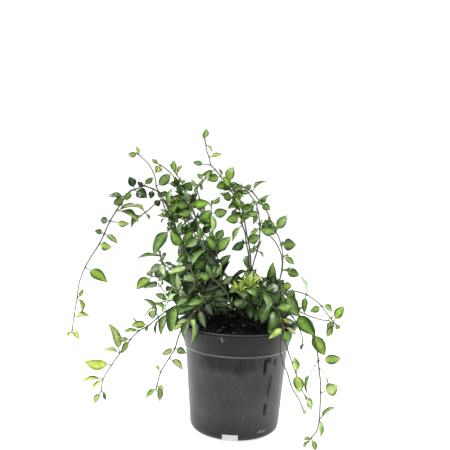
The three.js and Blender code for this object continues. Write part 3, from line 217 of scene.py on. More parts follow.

# Side shoots of each vine, in millimetres: the place on it and the way out, the length of the bare stalk,
# then how many leaves open at its end, their length and how young, how dark (partly painted shade) and how
# vivid they are
SHOOTS = {
    "vine_front_left_high": (
        ((-27, -29, 144), (0.5, -0.3, -0.4), 8, 5, 12, (0.15, 0.4, 0.1)),
    ),
    "vine_front_middle": (
        ((-13, -46, 155), (-1.0, -0.25, -0.12), 27, 1, 5, (0.9, 0.0, 0.6)),
        ((-7, -39, 139), (0.9, -0.3, 0.15), 9, 5, 12, (0.1, 0.45, 0.2)),
    ),
    "vine_front_right_high": (
        ((12, -30, 142), (-13, -22, 14), 24, 8, 15.5, (1.0, 0.0, 1.0)),
        ((13, -28, 141), (-4, -22, 21), 26, 8, 18.5, (0.95, 0.0, 1.0)),
        ((13, -27, 141), (0.5, 0.1, -0.25), 8, 5, 13, (0.05, 0.6, 0.1)),
    ),
    "vine_left_arch": (
        ((-121, -14, 250), (-1.0, 0.1, -0.06), 18, 1, 3, (0.0, 1.0, 0.5)),
        ((-77, -8, 238), (0.6, -0.6, 0.2), 8, 6, 14, (0.1, 0.4, 0.6)),
        ((-71, -7, 223), (-0.3, -0.8, 0.1), 7, 5, 13, (0.15, 0.4, 0.6)),
        ((-66, -6, 209), (0.5, -0.8, 0.1), 8, 6, 14, (0.1, 0.5, 0.6)),
    ),
    "vine_middle_sprig": (
        ((-1, 7, 130), (0.8, -0.2, 0.25), 8, 6, 13, (0.1, 0.5, 0.2)),
        ((-8, -14, 142), (0.5, -0.4, -0.5), 6, 5, 12, (0.1, 0.5, 0.2)),
        ((-1, 7, 130), (0.5, -0.5, 0.05), 12, 6, 12, (0.1, 0.5, 0.2)),
        ((-1, 7, 130), (-0.4, -0.8, 0.1), 4, 7, 11, (0.1, 0.5, 0.1)),
    ),
    "vine_top_left_inner": (
        ((-51, 2, 233), (-0.5, -0.8, 0.1), 9, 6, 14, (0.1, 0.4, 0.6)),
        ((-57, 2, 246), (-0.6, -0.8, 0.1), 9, 6, 14, (0.15, 0.35, 0.7)),
        ((-63, 3, 260), (-0.5, -0.7, -0.1), 9, 5, 12, (0.1, 0.55, 0.5)),
    ),
    "vine_top_side": (
        ((-34, -13, 220), (-0.4, -0.8, 0.1), 8, 5, 13, (0.1, 0.45, 0.5)),
    ),
}


# Settings


class PotSettings(bpy.types.PropertyGroup):
    sides: IntProperty(name="Sides", description="Straight stretches round the pot", default=168, min=24)
    bead: FloatProperty(
        name="Bead", description="How far the collar's bead stands out", default=0.55 * MM, unit="LENGTH"
    )
    lip: FloatProperty(
        name="Lip", description="How far the rim stands inside the wall", default=0.9 * MM, unit="LENGTH"
    )
    colour: FloatVectorProperty(
        name="Colour", description="Dark grey plastic", default=(0.0055, 0.0057, 0.0065), subtype="COLOR"
    )
    # Also the colour of the painted highlights along the bead and the top of the rim
    dust: FloatVectorProperty(
        name="Dust", description="Dry dust and lime", default=(0.142, 0.144, 0.152), subtype="COLOR"
    )


class SoilSettings(bpy.types.PropertyGroup):
    crumbs: IntProperty(name="Crumbs", description="Loose crumbs on the surface", default=1500, min=0)
    crumb_size: FloatProperty(
        name="Crumb size", description="Length of a middling crumb", default=1.5 * MM, unit="LENGTH"
    )
    flakes: IntProperty(name="Flakes", description="Dry flakes of bark and old leaf", default=14, min=0)
    colour: FloatVectorProperty(
        name="Colour", description="Wet peat", default=(0.003, 0.0026, 0.0022), subtype="COLOR"
    )
    dry: FloatVectorProperty(
        name="Dry", description="Peat where it has dried", default=(0.08, 0.034, 0.026), subtype="COLOR"
    )


class LeafSettings(bpy.types.PropertyGroup):
    steps: IntProperty(name="Steps", description="Faces along a blade", default=14, min=6)
    columns: IntProperty(name="Columns", description="Faces across a blade", default=8, min=4)
    thickness: FloatProperty(
        name="Thickness", description="Blade thickness beside the midrib", default=0.5 * MM, unit="LENGTH"
    )
    breadth: FloatProperty(name="Breadth", description="Half width for each of the solid's", default=1.12)
    fold: FloatProperty(name="Fold", description="Rise of the margins for each half width", default=0.4)
    axils: FloatProperty(name="Axils", description="Share of inner leaves with a small pair", default=0.85)
    wave: FloatProperty(name="Wave", description="Waviness of the margins for each half width", default=0.11)
    mature: FloatVectorProperty(
        name="Mature", description="A grown leaf", default=(0.108, 0.265, 0.019), subtype="COLOR"
    )
    # The colour of a dark old leaf, and the painted shade of leaves that others hide from the light
    deep: FloatVectorProperty(
        name="Deep", description="An old leaf inside the bush", default=(0.006, 0.022, 0.005), subtype="COLOR"
    )
    young: FloatVectorProperty(
        name="Young", description="A leaf just opened", default=(0.44, 0.54, 0.09), subtype="COLOR"
    )
    vein: FloatVectorProperty(
        name="Vein", description="The pale midrib", default=(0.3, 0.42, 0.15), subtype="COLOR"
    )
    under: FloatVectorProperty(
        name="Underside", description="A leaf from below", default=(0.14, 0.24, 0.065), subtype="COLOR"
    )


class StemSettings(bpy.types.PropertyGroup):
    sides: IntProperty(name="Sides", description="Faces round a stem", default=8, min=5)
    step: FloatProperty(name="Step", description="Length of a stretch", default=2.4 * MM, unit="LENGTH")
    slim: FloatProperty(name="Slimness", description="Radius for each of the solid's", default=1.06)
    swelling: FloatProperty(name="Swelling", description="How much a joint is thicker", default=0.35)
    old: FloatVectorProperty(
        name="Old", description="Woody stem", default=(0.028, 0.017, 0.014), subtype="COLOR"
    )
    fresh: FloatVectorProperty(
        name="Fresh", description="Green stem", default=(0.11, 0.135, 0.04), subtype="COLOR"
    )


class StageSettings(bpy.types.PropertyGroup):
    reach: FloatProperty(name="Reach", description="Size of the round floor", default=6.0, unit="LENGTH")
    key: FloatProperty(name="Key", description="Power of the light in front", default=54.0, unit="POWER")
    fill: FloatProperty(name="Fill", description="Power of the light at the right", default=6.0, unit="POWER")
    edge: FloatProperty(
        name="Edge", description="Power of each light beside and behind", default=48.0, unit="POWER"
    )
    sky: FloatProperty(name="Sky", description="Strength of the even light from above", default=0.15)
    glow: FloatProperty(name="Glow", description="Light that the pale floor gives off", default=0.68)
    backdrop: FloatProperty(name="Backdrop", description="Light that the edge gives off", default=0.85)


class PlantSettings(bpy.types.PropertyGroup):
    pot: PointerProperty(type=PotSettings, name="Pot", description="The nursery pot")
    soil: PointerProperty(type=SoilSettings, name="Soil", description="The soil in the pot")
    leaf: PointerProperty(type=LeafSettings, name="Leaf", description="The leaves")
    stem: PointerProperty(type=StemSettings, name="Stem", description="The stems")
    stage: PointerProperty(type=StageSettings, name="Stage", description="Floor, lights and camera")


# Meshes


def into_scene(name, data):
    """A new object in the scene, with a mesh, a light or a camera as its data."""
    thing = bpy.data.objects.new(name, data)
    bpy.context.scene.collection.objects.link(thing)
    return thing


class Skin:
    """The vertices and faces of one piece, with a map place and a tone for each vertex."""

    def __init__(self):
        self.places, self.maps, self.tones, self.faces, self.slots = [], [], [], [], []
        self.count = 0

    def add(self, places, faces, tone=(0.0, 0.0, 0.0), slots=0, maps=None):
        places = np.asarray(places, float)
        self.places.append(places)
        self.maps.append(np.zeros((len(places), 2)) if maps is None else maps)
        self.tones.append(np.broadcast_to(np.asarray(tone, float), (len(places), 3)))
        self.faces += [[index + self.count for index in face] for face in faces]
        self.slots += [slots] * len(faces) if isinstance(slots, int) else slots
        self.count += len(places)

    def add_tube(self, path, radii, sides, tone, slot=BARK):
        """A closed tube round a path, carried along it without twist."""
        path = np.asarray(path, float)
        ahead = np.vstack([path[1:] - path[:-1], path[-1:] - path[-2:-1]])
        behind = np.vstack([ahead[:1], ahead[:-1]])
        angles = np.arange(sides) * 2 * math.pi / sides
        side = square_to(np.array([0.31, 0.87, 0.38]), unit(ahead[0]))
        places = []
        for at, along, radius in zip(path, ahead + behind, radii):
            along = unit(along)
            side = square_to(side, along)
            across = np.cross(along, side)
            places.append(at + radius * (np.outer(np.cos(angles), side) + np.outer(np.sin(angles), across)))
        self.add(np.vstack(places), loops_to_faces(len(path), sides), tone, slot)

    def piece(self, name, materials):
        mesh = bpy.data.meshes.new(name)
        mesh.from_pydata(np.vstack(self.places).tolist(), [], self.faces)
        mesh.polygons.foreach_set("material_index", self.slots)
        mesh.polygons.foreach_set("use_smooth", [True] * len(self.faces))
        corners = np.empty(len(mesh.loops), int)
        mesh.loops.foreach_get("vertex_index", corners)
        mesh.uv_layers.new(name="Blade").uv.foreach_set("vector", np.vstack(self.maps)[corners].ravel())
        tones = np.vstack(self.tones)
        layer = mesh.color_attributes.new("Tone", "FLOAT_COLOR", "POINT")
        layer.data.foreach_set("color", np.hstack([tones, np.ones((len(tones), 1))]).ravel())
        for material in materials:
            mesh.materials.append(material)
        mesh.update()
        return into_scene(name, mesh)


def loops_to_faces(loops, around, start_cap=True, flip=False):
    """Faces between loops of so many vertices, numbered one loop after another, and over their ends."""
    faces = []
    for loop in range(loops - 1):
        low, high = loop * around, (loop + 1) * around
        for k in range(around):
            after = (k + 1) % around
            faces.append([low + k, low + after, high + after, high + k])
    if start_cap:
        faces.append(list(range(around))[::-1])
    faces.append([(loops - 1) * around + k for k in range(around)])
    return [face[::-1] for face in faces] if flip else faces


def norm(vector):
    return float(np.linalg.norm(vector))


def unit(vector):
    return vector / max(1e-12, norm(vector))


def square_to(vector, axis):
    return unit(vector - axis * float(vector @ axis))


def nearness(x, y, middle_x, middle_y, reach):
    """1 in the middle of a spot, and less the further off, by its reach."""
    return math.exp(-((x - middle_x) ** 2 + (y - middle_y) ** 2) / reach**2)


def polar(radius, angle):
    return radius * math.cos(angle), radius * math.sin(angle)


def smooth_path(points, step):
    """A curve through points, with about one place for each step, and the place of each on the points."""
    points = np.asarray(points, float)
    padded = np.vstack([2 * points[0] - points[1], points, 2 * points[-1] - points[-2]])
    places, marks = [], []
    for i in range(len(points) - 1):
        a, b, c, d = padded[i : i + 4]
        span = norm(c - b)
        count = max(1, round(span / step))
        start = (c - a) * span / max(1e-9, norm(c - b) + norm(b - a))
        end = (d - b) * span / max(1e-9, norm(d - c) + norm(c - b))
        for t in np.arange(count) / count:
            places.append(
                (2 * t**3 - 3 * t**2 + 1) * b + (t**3 - 2 * t**2 + t) * start
                + (3 * t**2 - 2 * t**3) * c + (t**3 - t**2) * end
            )
            marks.append(i + t)
    return np.array(places + [points[-1]]), np.array(marks + [len(points) - 1.0])


# The vines of the frame


class Leaf:
    """One leaf: its seat on the stem, the spine of its blade, its half width and its upper side."""

    def __init__(self, seat, base, middle, tip, half, up):
        self.seat, self.base, self.middle, self.tip, self.half = seat, base, middle, tip, half
        self.length = norm(tip - base)
        self.along = unit(tip - base)
        self.up = square_to(up, self.along)
        self.side = np.cross(self.up, self.along)
        self.reach = float(np.clip((middle - base) @ self.along / self.length, 0.2, 0.6))


def leaf_of_rings(seat, rings, tip):
    """A leaf of the frame, from the ring on the stem, the blade's rings from the base on, and the tip."""
    left, crest, right, keel = max(rings[1:], key=lambda ring: norm(ring[0] - ring[2]))
    middle = (crest + keel) / 2
    half = norm(left - right) / 2
    return Leaf(seat.mean(0), rings[0].mean(0), middle, tip, half, (left + right) / 2 - middle)


def welded(name):
    """The node's places and triangles, with the corners that share a place made one."""
    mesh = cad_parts[name].data
    places = np.array([vertex.co[:] for vertex in mesh.vertices])
    triangles = np.array([polygon.vertices[:] for polygon in mesh.polygons])
    grid = np.round(places / WELD)
    _, first, which = np.unique(grid, axis=0, return_index=True, return_inverse=True)
    return places[first], which.reshape(-1)[triangles]


def neighbours_of(count, triangles):
    near = [set() for _ in range(count)]
    for a, b, c in triangles.tolist():
        near[a] |= {b, c}
        near[b] |= {a, c}
        near[c] |= {a, b}
    return near


def around(ring, near):
    """A ring's four corners in order round it, or nothing if they are no ring."""
    first = ring[0]
    sides = [corner for corner in ring if corner in near[first]]
    opposite = [corner for corner in ring[1:] if corner not in near[first]]
    return [first, sides[0], opposite[0], sides[1]] if len(opposite) == 1 and len(sides) == 2 else None


def next_ring(ring, near, seen):
    return sorted(set().union(*(near[corner] for corner in ring)) - seen)


def wide_first(corners):
    """The corners of a blade's ring, turned so that the first and third are its edges."""
    wide = norm(corners[0] - corners[2]) >= norm(corners[1] - corners[3])
    return corners if wide else np.roll(corners, 1, axis=0)


def leaf_rings(tip, places, near):
    """A leaf's rings from the one next to its tip down to its stalk, and its seat, or nothing."""
    ring, rings, seen = sorted(near[tip]), [], {tip} | near[tip]
    while len(ring) == 4 and len(rings) < 4:
        corners = around(ring, near)
        if corners is None:
            return None
        rings.append(corners)
        spans = places[corners[0]] - places[corners[2]], places[corners[1]] - places[corners[3]]
        ring = next_ring(ring, near, seen)
        if max(norm(span) for span in spans) < STALK_WIDTH:
            return (rings, ring, seen) if len(ring) == 4 and len(rings) > 1 else None
        seen = seen | set(ring)
    return None


def find_leaves(places, near):
    """The rings of every leaf. A tip has four neighbours, all about as far off."""
    evenness = {}
    for corner in range(len(places)):
        if len(near[corner]) == 4:
            spans = [norm(places[corner] - places[other]) for other in near[corner]]
            if min(spans) > TIP_SPAN:
                evenness[corner] = min(spans) / max(spans)
    leaves, used = [], set()
    for tip in sorted(evenness, key=lambda corner: (-evenness[corner], corner)):
        found = None if tip in used else leaf_rings(tip, places, near)
        if evenness[tip] > 0.5 and found and not found[2] & used:
            leaves.append((tip, found[0], found[1]))
            used |= found[2]
    return leaves, used


def read_vine(name):
    """The rings of the node's stem, from the root to the tip, and its leaves."""
    places, triangles = welded(name)
    near = neighbours_of(len(places), triangles)
    found, used = find_leaves(places, near)
    leaves = []
    for tip, rings, seat in found:
        blade = [wide_first(places[ring]) for ring in rings[::-1]]
        leaves.append(leaf_of_rings(places[seat], blade, places[tip]))
    stem = set(range(len(places))) - used
    root = [corner for corner in stem if np.hypot(*places[corner][:2]) < SOIL_EDGE_RADIUS * MM]
    ring = sorted(root, key=lambda corner: places[corner][2])[:4]
    seen, rings = set(used), []
    while ring:
        if len(ring) != 4:
            raise RuntimeError(f"the stem of {name} has a ring of {len(ring)} corners")
        rings.append(places[ring])
        seen |= set(ring)
        ring = next_ring(ring, near, seen)
    return rings, leaves


# Materials


def operation(name):
    """A method that places a math node of this kind."""

    def place(self, *others):
        return self.wiring.math(name, self, *others)

    return place


class Value:
    """A number or colour in a shader tree. Arithmetic on it places the math nodes that work it out."""

    __add__ = operation("ADD")
    __sub__ = operation("SUBTRACT")
    __mul__ = operation("MULTIPLY")
    __truediv__ = operation("DIVIDE")
    __pow__ = operation("POWER")
    __abs__ = operation("ABSOLUTE")

    def __init__(self, wiring, socket):
        self.wiring, self.socket = wiring, socket

    def held(self):
        """The value, held between 0 and 1."""
        return self.wiring.math("ADD", self, 0.0, use_clamp=True)

    def ramp(self, low, high):
        """The value brought from low..high to 0..1, and held there."""
        return self.wiring.add("ShaderNodeMapRange", {"Value": self, "From Min": low, "From Max": high})[0]


class Wiring:
    """Places shader nodes in a tree and joins them."""

    def __init__(self, tree):
        self.tree = tree

    def feed(self, sockets, values):
        """Join each input socket to its value, or set it to its constant."""
        for key, value in values.items():
            if isinstance(value, Value):
                self.tree.links.new(value.socket, sockets[key])
            else:
                sockets[key].default_value = (*value, 1.0) if sockets[key].type == "RGBA" else value

    def node(self, kind, inputs, **settings):
        row, column = divmod(len(self.tree.nodes), NODES_IN_ROW)
        node = self.tree.nodes.new(kind)
        node.location = (NODE_SPACING[0] * column, -NODE_SPACING[1] * row)
        for key, value in settings.items():
            setattr(node, key, value)
        self.feed(node.inputs, inputs)
        return node

    def add(self, kind, inputs, **settings):
        """A new node's outputs."""
        return [Value(self, socket) for socket in self.node(kind, inputs, **settings).outputs]

    def math(self, kind, *values, **settings):
        return self.add("ShaderNodeMath", dict(enumerate(values)), operation=kind, **settings)[0]

    def mix(self, factor, first, second, blend="MIX"):
        """Two colours mixed, or the first multiplied by the second."""
        inputs = {0: factor, 6: first, 7: second}
        return self.add("ShaderNodeMix", inputs, data_type="RGBA", blend_type=blend)[2]

    def noise(self, place, scale, detail=3.0, roughness=0.55):
        inputs = {"Vector": place, "Scale": scale, "Detail": detail, "Roughness": roughness}
        return self.add("ShaderNodeTexNoise", inputs)[0]

    def tone(self):
        return self.add("ShaderNodeVertexColor", {}, layer_name="Tone")[0]

    def split(self, value):
        """The three numbers of a colour or a place."""
        kind = "ShaderNodeSeparateColor" if value.socket.type == "RGBA" else "ShaderNodeSeparateXYZ"
        return self.add(kind, {0: value})

    def bump(self, strength, distance, height):
        """The normal bent by a height, over a distance in millimetres."""
        inputs = {"Strength": strength, "Distance": distance * MM, "Height": height}
        return self.add("ShaderNodeBump", inputs)[0]

    def group(self, build, inputs):
        """The outputs of a shared group, which is built the first time."""
        name = build.__name__.replace("_", " ").capitalize()
        tree = bpy.data.node_groups.get(name) or build(name)
        return self.add("ShaderNodeGroup", inputs, node_tree=tree)


def new_group(name, inputs, outputs):
    """A shader node group with these sockets: its tree and wiring, what it is given and what it feeds."""
    tree = bpy.data.node_groups.new(name, "ShaderNodeTree")
    for way, labels in (("INPUT", inputs), ("OUTPUT", outputs)):
        for label, kind in labels.items():
            tree.interface.new_socket(label, in_out=way, socket_type=f"NodeSocket{kind}")
    w = Wiring(tree)
    return tree, w, w.add("NodeGroupInput", {})[: len(inputs)], w.node("NodeGroupOutput", {}).inputs


def leaf_veins(name):
    """Midrib, side veins and margin of a blade, from its place along and across."""
    tree, w, (blade,), put = new_group(
        name, {"Map": "Vector"}, {"Midrib": "Float", "Side veins": "Float", "Margin": "Float"}
    )
    along, across, _ = w.split(blade)
    out = abs(across * 2.0 - 1.0)
    swept = out**0.8 * -0.1 + along
    side = w.math("PINGPONG", swept * VEIN_BANDS, 1.0) ** 7.0
    w.feed(put, {
        "Midrib": out.ramp(along * -0.075 + 0.12, 0.0),
        "Side veins": side * out.ramp(0.97, 0.6),
        "Margin": out.ramp(0.34, 0.82),
    })
    return tree


def leaf_tint(name):
    """A leaf's colour from how young, how dark and how vivid it is, with a slow drift over the surface. The
    darkness is partly painted shade.
    """
    tree, w, (tone, place, mature, deep, young), put = new_group(
        name,
        {"Tone": "Color", "Place": "Vector", "Mature": "Color", "Deep": "Color", "Young": "Color"},
        {"Colour": "Color", "Margin": "Color", "Drift": "Float"},
    )
    youth, depth, vividness = w.split(tone)
    drift = w.noise(place, 210.0, 3.0, 0.6)
    grown = w.mix(1.0, mature, w.mix(vividness, (1.1, 0.76, 3.2), (1.12, 1.0, 0.6)), "MULTIPLY")
    fresh = w.mix(1.0, young, w.mix(vividness, (0.84, 0.8, 2.6), (1.0, 1.0, 1.0)), "MULTIPLY")
    colour = w.mix(((drift - 0.5) * 0.5 + youth).held(), grown, fresh)
    # Painted shade: the colour goes towards the dark-and-shaded colour as far as the tone's darkness says
    colour = w.mix(1.0, w.mix(depth, colour, deep), drift * 1.1 + 0.48, "MULTIPLY")
    margin = w.mix(youth.ramp(0.75, 0.95), (0.1, 0.17, 0.18), (0.42, 0.5, 0.3))
    w.feed(put, {"Colour": colour, "Margin": w.mix(1.0, colour, margin, "MULTIPLY"), "Drift": drift})
    return tree


def new_material(name, constants):
    """A material, its wiring, its shader's inputs and the place on the object."""
    material = bpy.data.materials.new(name)
    material.use_nodes = True
    material.node_tree.nodes.clear()
    w = Wiring(material.node_tree)
    shader = w.node("ShaderNodeBsdfPrincipled", constants)
    w.node("ShaderNodeOutputMaterial", {"Surface": Value(w, shader.outputs["BSDF"])})
    return material, w, shader.inputs, w.add("ShaderNodeTexCoord", {})[OBJECT_PLACE]


def leaf_material(name, settings, below):
    """The waxy upper side of the leaves, or their dull pale underside."""
    material, w, shader, place = new_material(name, {"Specular IOR Level": 0.12 if below else 0.2})
    tints = {"Mature": settings.mature, "Deep": settings.deep, "Young": settings.young}
    if below:
        tints = {label: Vector(tint).lerp(Vector(settings.under), 0.5) for label, tint in tints.items()}
    blade = w.add("ShaderNodeUVMap", {}, uv_map="Blade")[0]
    midrib, side, margin = w.group(leaf_veins, {"Map": blade})
    colour, rim, drift = w.group(leaf_tint, {"Tone": w.tone(), "Place": place, **tints})
    colour = w.mix(margin * 0.95, colour, rim)
    colour = w.mix(side * 0.17, colour, settings.vein)
    ridges = (midrib * 1.4 + side * 0.35) * (1.0 if below else -1.0)
    w.feed(shader, {
        "Base Color": w.mix(midrib * 0.45, colour, settings.vein),
        "Roughness": drift * 0.22 + (0.45 if below else 0.16),
        "Normal": w.bump(0.5, 0.25, w.noise(place, 900.0, 2.0) * 0.3 + ridges),
    })
    return material


def stem_material(settings):
    """Bark that goes from woody to green along the stem, darker at the joints."""
    material, w, shader, place = new_material(
        "Periwinkle stem", {"Roughness": 0.5, "Specular IOR Level": 0.25}
    )
    green, dark, _ = w.split(w.tone())
    fresh = (w.noise(place, 260.0, 4.0, 0.65) - 0.5) * 0.9 + green
    colour = w.mix(fresh.held(), settings.old, settings.fresh)
    w.feed(shader, {
        "Base Color": w.mix(dark * 0.8, colour, (0.01, 0.007, 0.007)),
        "Normal": w.bump(0.4, 0.2, w.noise(place, 1500.0)),
    })
    return material


def soil_material(settings):
    """Wet peat, browner where it has dried, with dull yellow flakes."""
    material, w, shader, place = new_material("Peat", {"Roughness": 0.93, "Specular IOR Level": 0.08})
    dried, flaky, _ = w.split(w.tone())
    grain = w.noise(place, 420.0, 6.0, 0.7)
    dry = (grain.ramp(0.5, 0.75) * 0.1 + dried).held()
    w.feed(shader, {
        "Base Color": w.mix(flaky, w.mix(dry, settings.colour, settings.dry), (0.17, 0.16, 0.12)),
        "Normal": w.bump(0.9, 0.8, grain),
    })
    return material


# Wet runs and pale scuffs on the front of the pot: degrees round from the front and height in millimetres,
# then half the length, half the width and the lean of each
RUNS = (
    (32.4, 80.0, 8.5, 2.3, -0.05),
    (37.5, 86.5, 3.0, 3.0, 0.0),
    (46.7, 83.0, 4.5, 2.6, 0.0),
    (41.3, 58.0, 11.0, 2.0, -0.14),
    (37.6, 33.2, 7.2, 2.5, 0.0),
)
SCUFFS = (
    (-14.6, 110.0, 3.4, 0.5, 0.0),
    (-14.6, 110.0, 1.6, 0.5, 1.6),
    (33.0, 9.8, 1.4, 1.4, -1.9),
    (39.0, 9.2, 1.1, 1.5, -2.4),
)
MARK_INPUTS = ("Turn", "Height", "Ripple", "At turn", "At height", "Half length", "Half width", "Lean")


def pot_mark(name):
    """One mark on the pot's wall: a slim patch with uneven sides that fades at its edge."""
    tree, w, given, put = new_group(name, dict.fromkeys(MARK_INPUTS, "Float"), {"Mask": "Float"})
    turn, height, ripple, at_turn, at_height, half_length, half_width, lean = given
    rise = (height - at_height) / half_length
    beside = rise * half_length * lean + (turn - at_turn) + (ripple * 1.4 - 0.7)
    beside = beside / half_width
    w.feed(put, {"Mask": (abs(rise) ** 3.0 + beside * beside).ramp(1.25, 0.6)})
    return tree


def marks(w, table, turn, height, ripple):
    """The mask of a table of marks."""
    mask = 0.0
    for degrees, *rest in table:
        values = (turn, height, ripple, math.radians(degrees) * WALL_RADIUS, *rest)
        mask = w.math("MAXIMUM", w.group(pot_mark, dict(zip(MARK_INPUTS, values)))[0], mask)
    return mask


def pot_material(settings):
    """Dark moulded plastic, with dust in fine upright streaks, specks near the foot, scuffs and wet runs,
    painted highlights along the bead and the top of the rim, and painted shade towards the foot.
    """
    material, w, shader, place = new_material("Pot plastic", {"Specular IOR Level": 0.15})
    x, y, z = w.split(place)
    turn = w.math("ARCTAN2", x, y * -1.0) * WALL_RADIUS
    height = z * (1 / MM)
    stretched = w.add("ShaderNodeMapping", {"Vector": place, "Scale": (1.0, 1.0, 0.12)})[0]
    streaks = w.noise(stretched, 190.0, 4.0, 0.6)
    cloud = w.noise(place, 26.0, 3.0, 0.5)
    grain = w.noise(place, 700.0, 2.0, 0.6)
    ripple = w.noise(place, 120.0, 2.0, 0.5)
    cloudy = cloud.ramp(0.3, 0.7)

    # Dust on the body, but less of it in a patch near the top of the front, and painted shade: less of it low
    # down, so the body darkens towards the foot
    sideways, upwards = abs((turn + 9.0) * 0.033) ** 2.0, abs((height - 83.0) * 0.075) ** 2.0
    patch = (w.noise(place, 55.0, 3.0, 0.6) * 2.6 + (sideways + upwards)).ramp(2.5, 1.5)
    body = height.ramp(COLLAR_BASE - 0.5, COLLAR_BASE - 2.5)
    dust_and_painted_light = (cloudy * 0.1 + 0.12) * body
    dust_and_painted_light = streaks.ramp(0.4, 0.8) * body * 0.06 + dust_and_painted_light
    # Painted shade: the pale dust thins towards the foot, which darkens the body there
    dust_and_painted_light = dust_and_painted_light * (patch * -0.8 + 1.0) * (height.ramp(4.0, 28.0) * 0.6 + 0.4)

    # Painted highlights along the bead at the collar's foot and along the top of the rim, broken up by the
    # cloud, then pale specks near the pot's foot, and the scuffs
    top = POT_HEIGHT / MM
    bead_highlight = abs(height - (COLLAR_BASE + 0.1)).ramp(1.4, 0.6)
    painted_edge_highlights = w.math("MAXIMUM", bead_highlight, height.ramp(top - 1.4, top - 0.6) * 0.5) * cloud.ramp(0.15, 0.45)
    specks = height.ramp(17.0, 3.0) * w.noise(place, 330.0, 5.0, 0.7).ramp(0.66, 0.78)
    wet, scuffed = marks(w, RUNS, turn, height, ripple), marks(w, SCUFFS, turn, height, ripple)
    # Painted highlights: the bead and rim edges are drawn in the pale dust colour
    dust_and_painted_light = (specks * 0.55 + (painted_edge_highlights * 0.6 + dust_and_painted_light)).held()
    dust_and_painted_light = (scuffed * grain.ramp(0.35, 0.6) * 0.9 + dust_and_painted_light).held()
    mottle = (grain - 0.5) + (w.noise(place, 210.0, 4.0, 0.7) - 0.5)
    dust_and_painted_light = (mottle * 0.15 + dust_and_painted_light).held()

    colour = w.mix(dust_and_painted_light, settings.colour, settings.dust)
    colour = w.mix(scuffed * 0.2, colour, (0.4, 0.4, 0.4))
    w.feed(shader, {
        "Base Color": w.mix(wet * 0.92, colour, (0.002, 0.002, 0.0025)),
        "Roughness": (dust_and_painted_light * 0.3 + (cloudy * 0.08 + 0.26)) * (wet * -0.55 + 1.0),
        "Normal": w.bump(0.25, 0.25, grain * 0.35 + streaks * 0.3),
    })
    return material


# Leaves and stems


def seen_from_front(place):
    """Across and up, in millimetres, where the sight line through a place meets the upright middle plane."""
    along = -EYE.y / (place[1] - EYE.y)
    return (EYE.x + (place[0] - EYE.x) * along) / MM, (EYE.z + (place[2] - EYE.z) * along) / MM


def crowding(place, middles):
    """How many leaves stand between a place and the light."""
    away = middles - place
    far = away @ LIGHTWARD
    beside = np.linalg.norm(away - np.outer(far, LIGHTWARD), axis=1)
    return float(np.sum(np.clip(1.5 - beside / SHADE_WIDTH, 0, 1) * (far > SHADE_NEAR) * (far < SHADE_FAR)))


def tone_of(place, share, middles, draw):
    """How young, how dark and how vivid a leaf is, from its share of the stem and its place in the bush. The
    darkness holds painted shade from the leaves that stand between it and the light.
    """
    across, up = seen_from_front(place)
    # Painted shade: the more leaves stand towards the light, the darker the leaf's colour
    shade = 0.16 * min(MOST_SHADE, crowding(place, middles))
    tone = np.array([0.05 + 0.28 * share**3, 0.12 + shade - 0.25 * share**2, 0.4])
    for *spot, young, deep, vivid in TONE_SPOTS:
        tone += nearness(across, up, *spot) * np.array([young, deep, vivid])
    tone += (draw.gauss(0, 0.16), draw.gauss(0, 0.28), 0.6 * draw.random())
    return np.clip(tone, 0.0, 1.0)


def changed(tone, *change):
    return np.clip(np.array(tone) + change, 0, 1)


def blade_shape(along, blunt):
    """The share of the full half width at each share of the blade's length."""
    width = (along + 0.012) ** 0.72 * np.clip(1.0 - along, 0.0, 1.0) ** blunt
    return width / width.max()


def add_blade(skin, leaf, tone, settings, draw, breadth=1.0):
    """A closed blade: an oval outline, folded along the midrib, with wavy margins and a curled tip."""
    steps, columns = settings.steps, settings.columns
    along = np.linspace(0.0, 1.0, steps + 1)
    half = np.maximum(leaf.half * breadth * blade_shape(along, draw.uniform(0.88, 1.12)), 0.1 * MM)
    r = leaf.reach
    spine = (
        np.outer((along - r) * (along - 1) / r, leaf.base)
        + np.outer(along * (along - 1) / (r * (r - 1)), leaf.middle)
        + np.outer(along * (along - r) / (1 - r), leaf.tip + leaf.along * DRAWN_OUT * leaf.length)
    )
    curl = draw.uniform(-0.05, 0.14) * leaf.length
    bend = draw.uniform(-0.08, 0.08) * leaf.length
    spine -= np.outer(curl * along**3, leaf.up)
    spine += np.outer(bend * np.sin(math.pi * along), leaf.side)
    across = np.linspace(-1.0, 1.0, columns + 1)
    across_map = (across + 1) / 2
    out = np.abs(across)
    phase, turns = draw.uniform(0, FULL_TURN), draw.uniform(1.0, 1.8)
    fold = settings.fold * draw.uniform(0.25, 1.6)
    loops, maps = [], []
    for t, at, h in zip(along, spine, half):
        wave = np.sin(phase + FULL_TURN * turns * t + np.sign(across) * 0.8)
        lift = h * fold * out**1.4 + h * settings.wave * across**2 * wave
        thick = settings.thickness * (THIN + (1 - THIN) * (1 - out**2.0)) * min(1.0, THIN + h / (2 * MM)) / 2
        groove = GROOVE * np.exp(-((across / GROOVE_WIDTH) ** 2)) * (1 - t)
        flat = at + np.outer(across * h, leaf.side)
        upper = flat + np.outer(lift + thick - groove, leaf.up)
        lower = flat + np.outer(lift - thick - 1.6 * groove, leaf.up)
        loops.append(np.vstack([upper, lower[-2:0:-1]]))
        maps.append(np.column_stack([np.full(2 * columns, t), np.append(across_map, across_map[-2:0:-1])]))
    slots = ([UPPER] * columns + [UNDER] * columns) * steps + [UPPER, UPPER]
    faces = loops_to_faces(steps + 1, 2 * columns, flip=True)
    skin.add(np.vstack(loops), faces, tone, slots, np.vstack(maps))


def small_leaf(at, along, up, length, half):
    """A leaf that has just opened, on a stalk of about an eighth of its length."""
    base, blade = at + along * length * 0.12, length * 0.88
    middle = base + along * blade * 0.42 + up * length * 0.04
    return Leaf(at, base, middle, at + along * length, half, up)


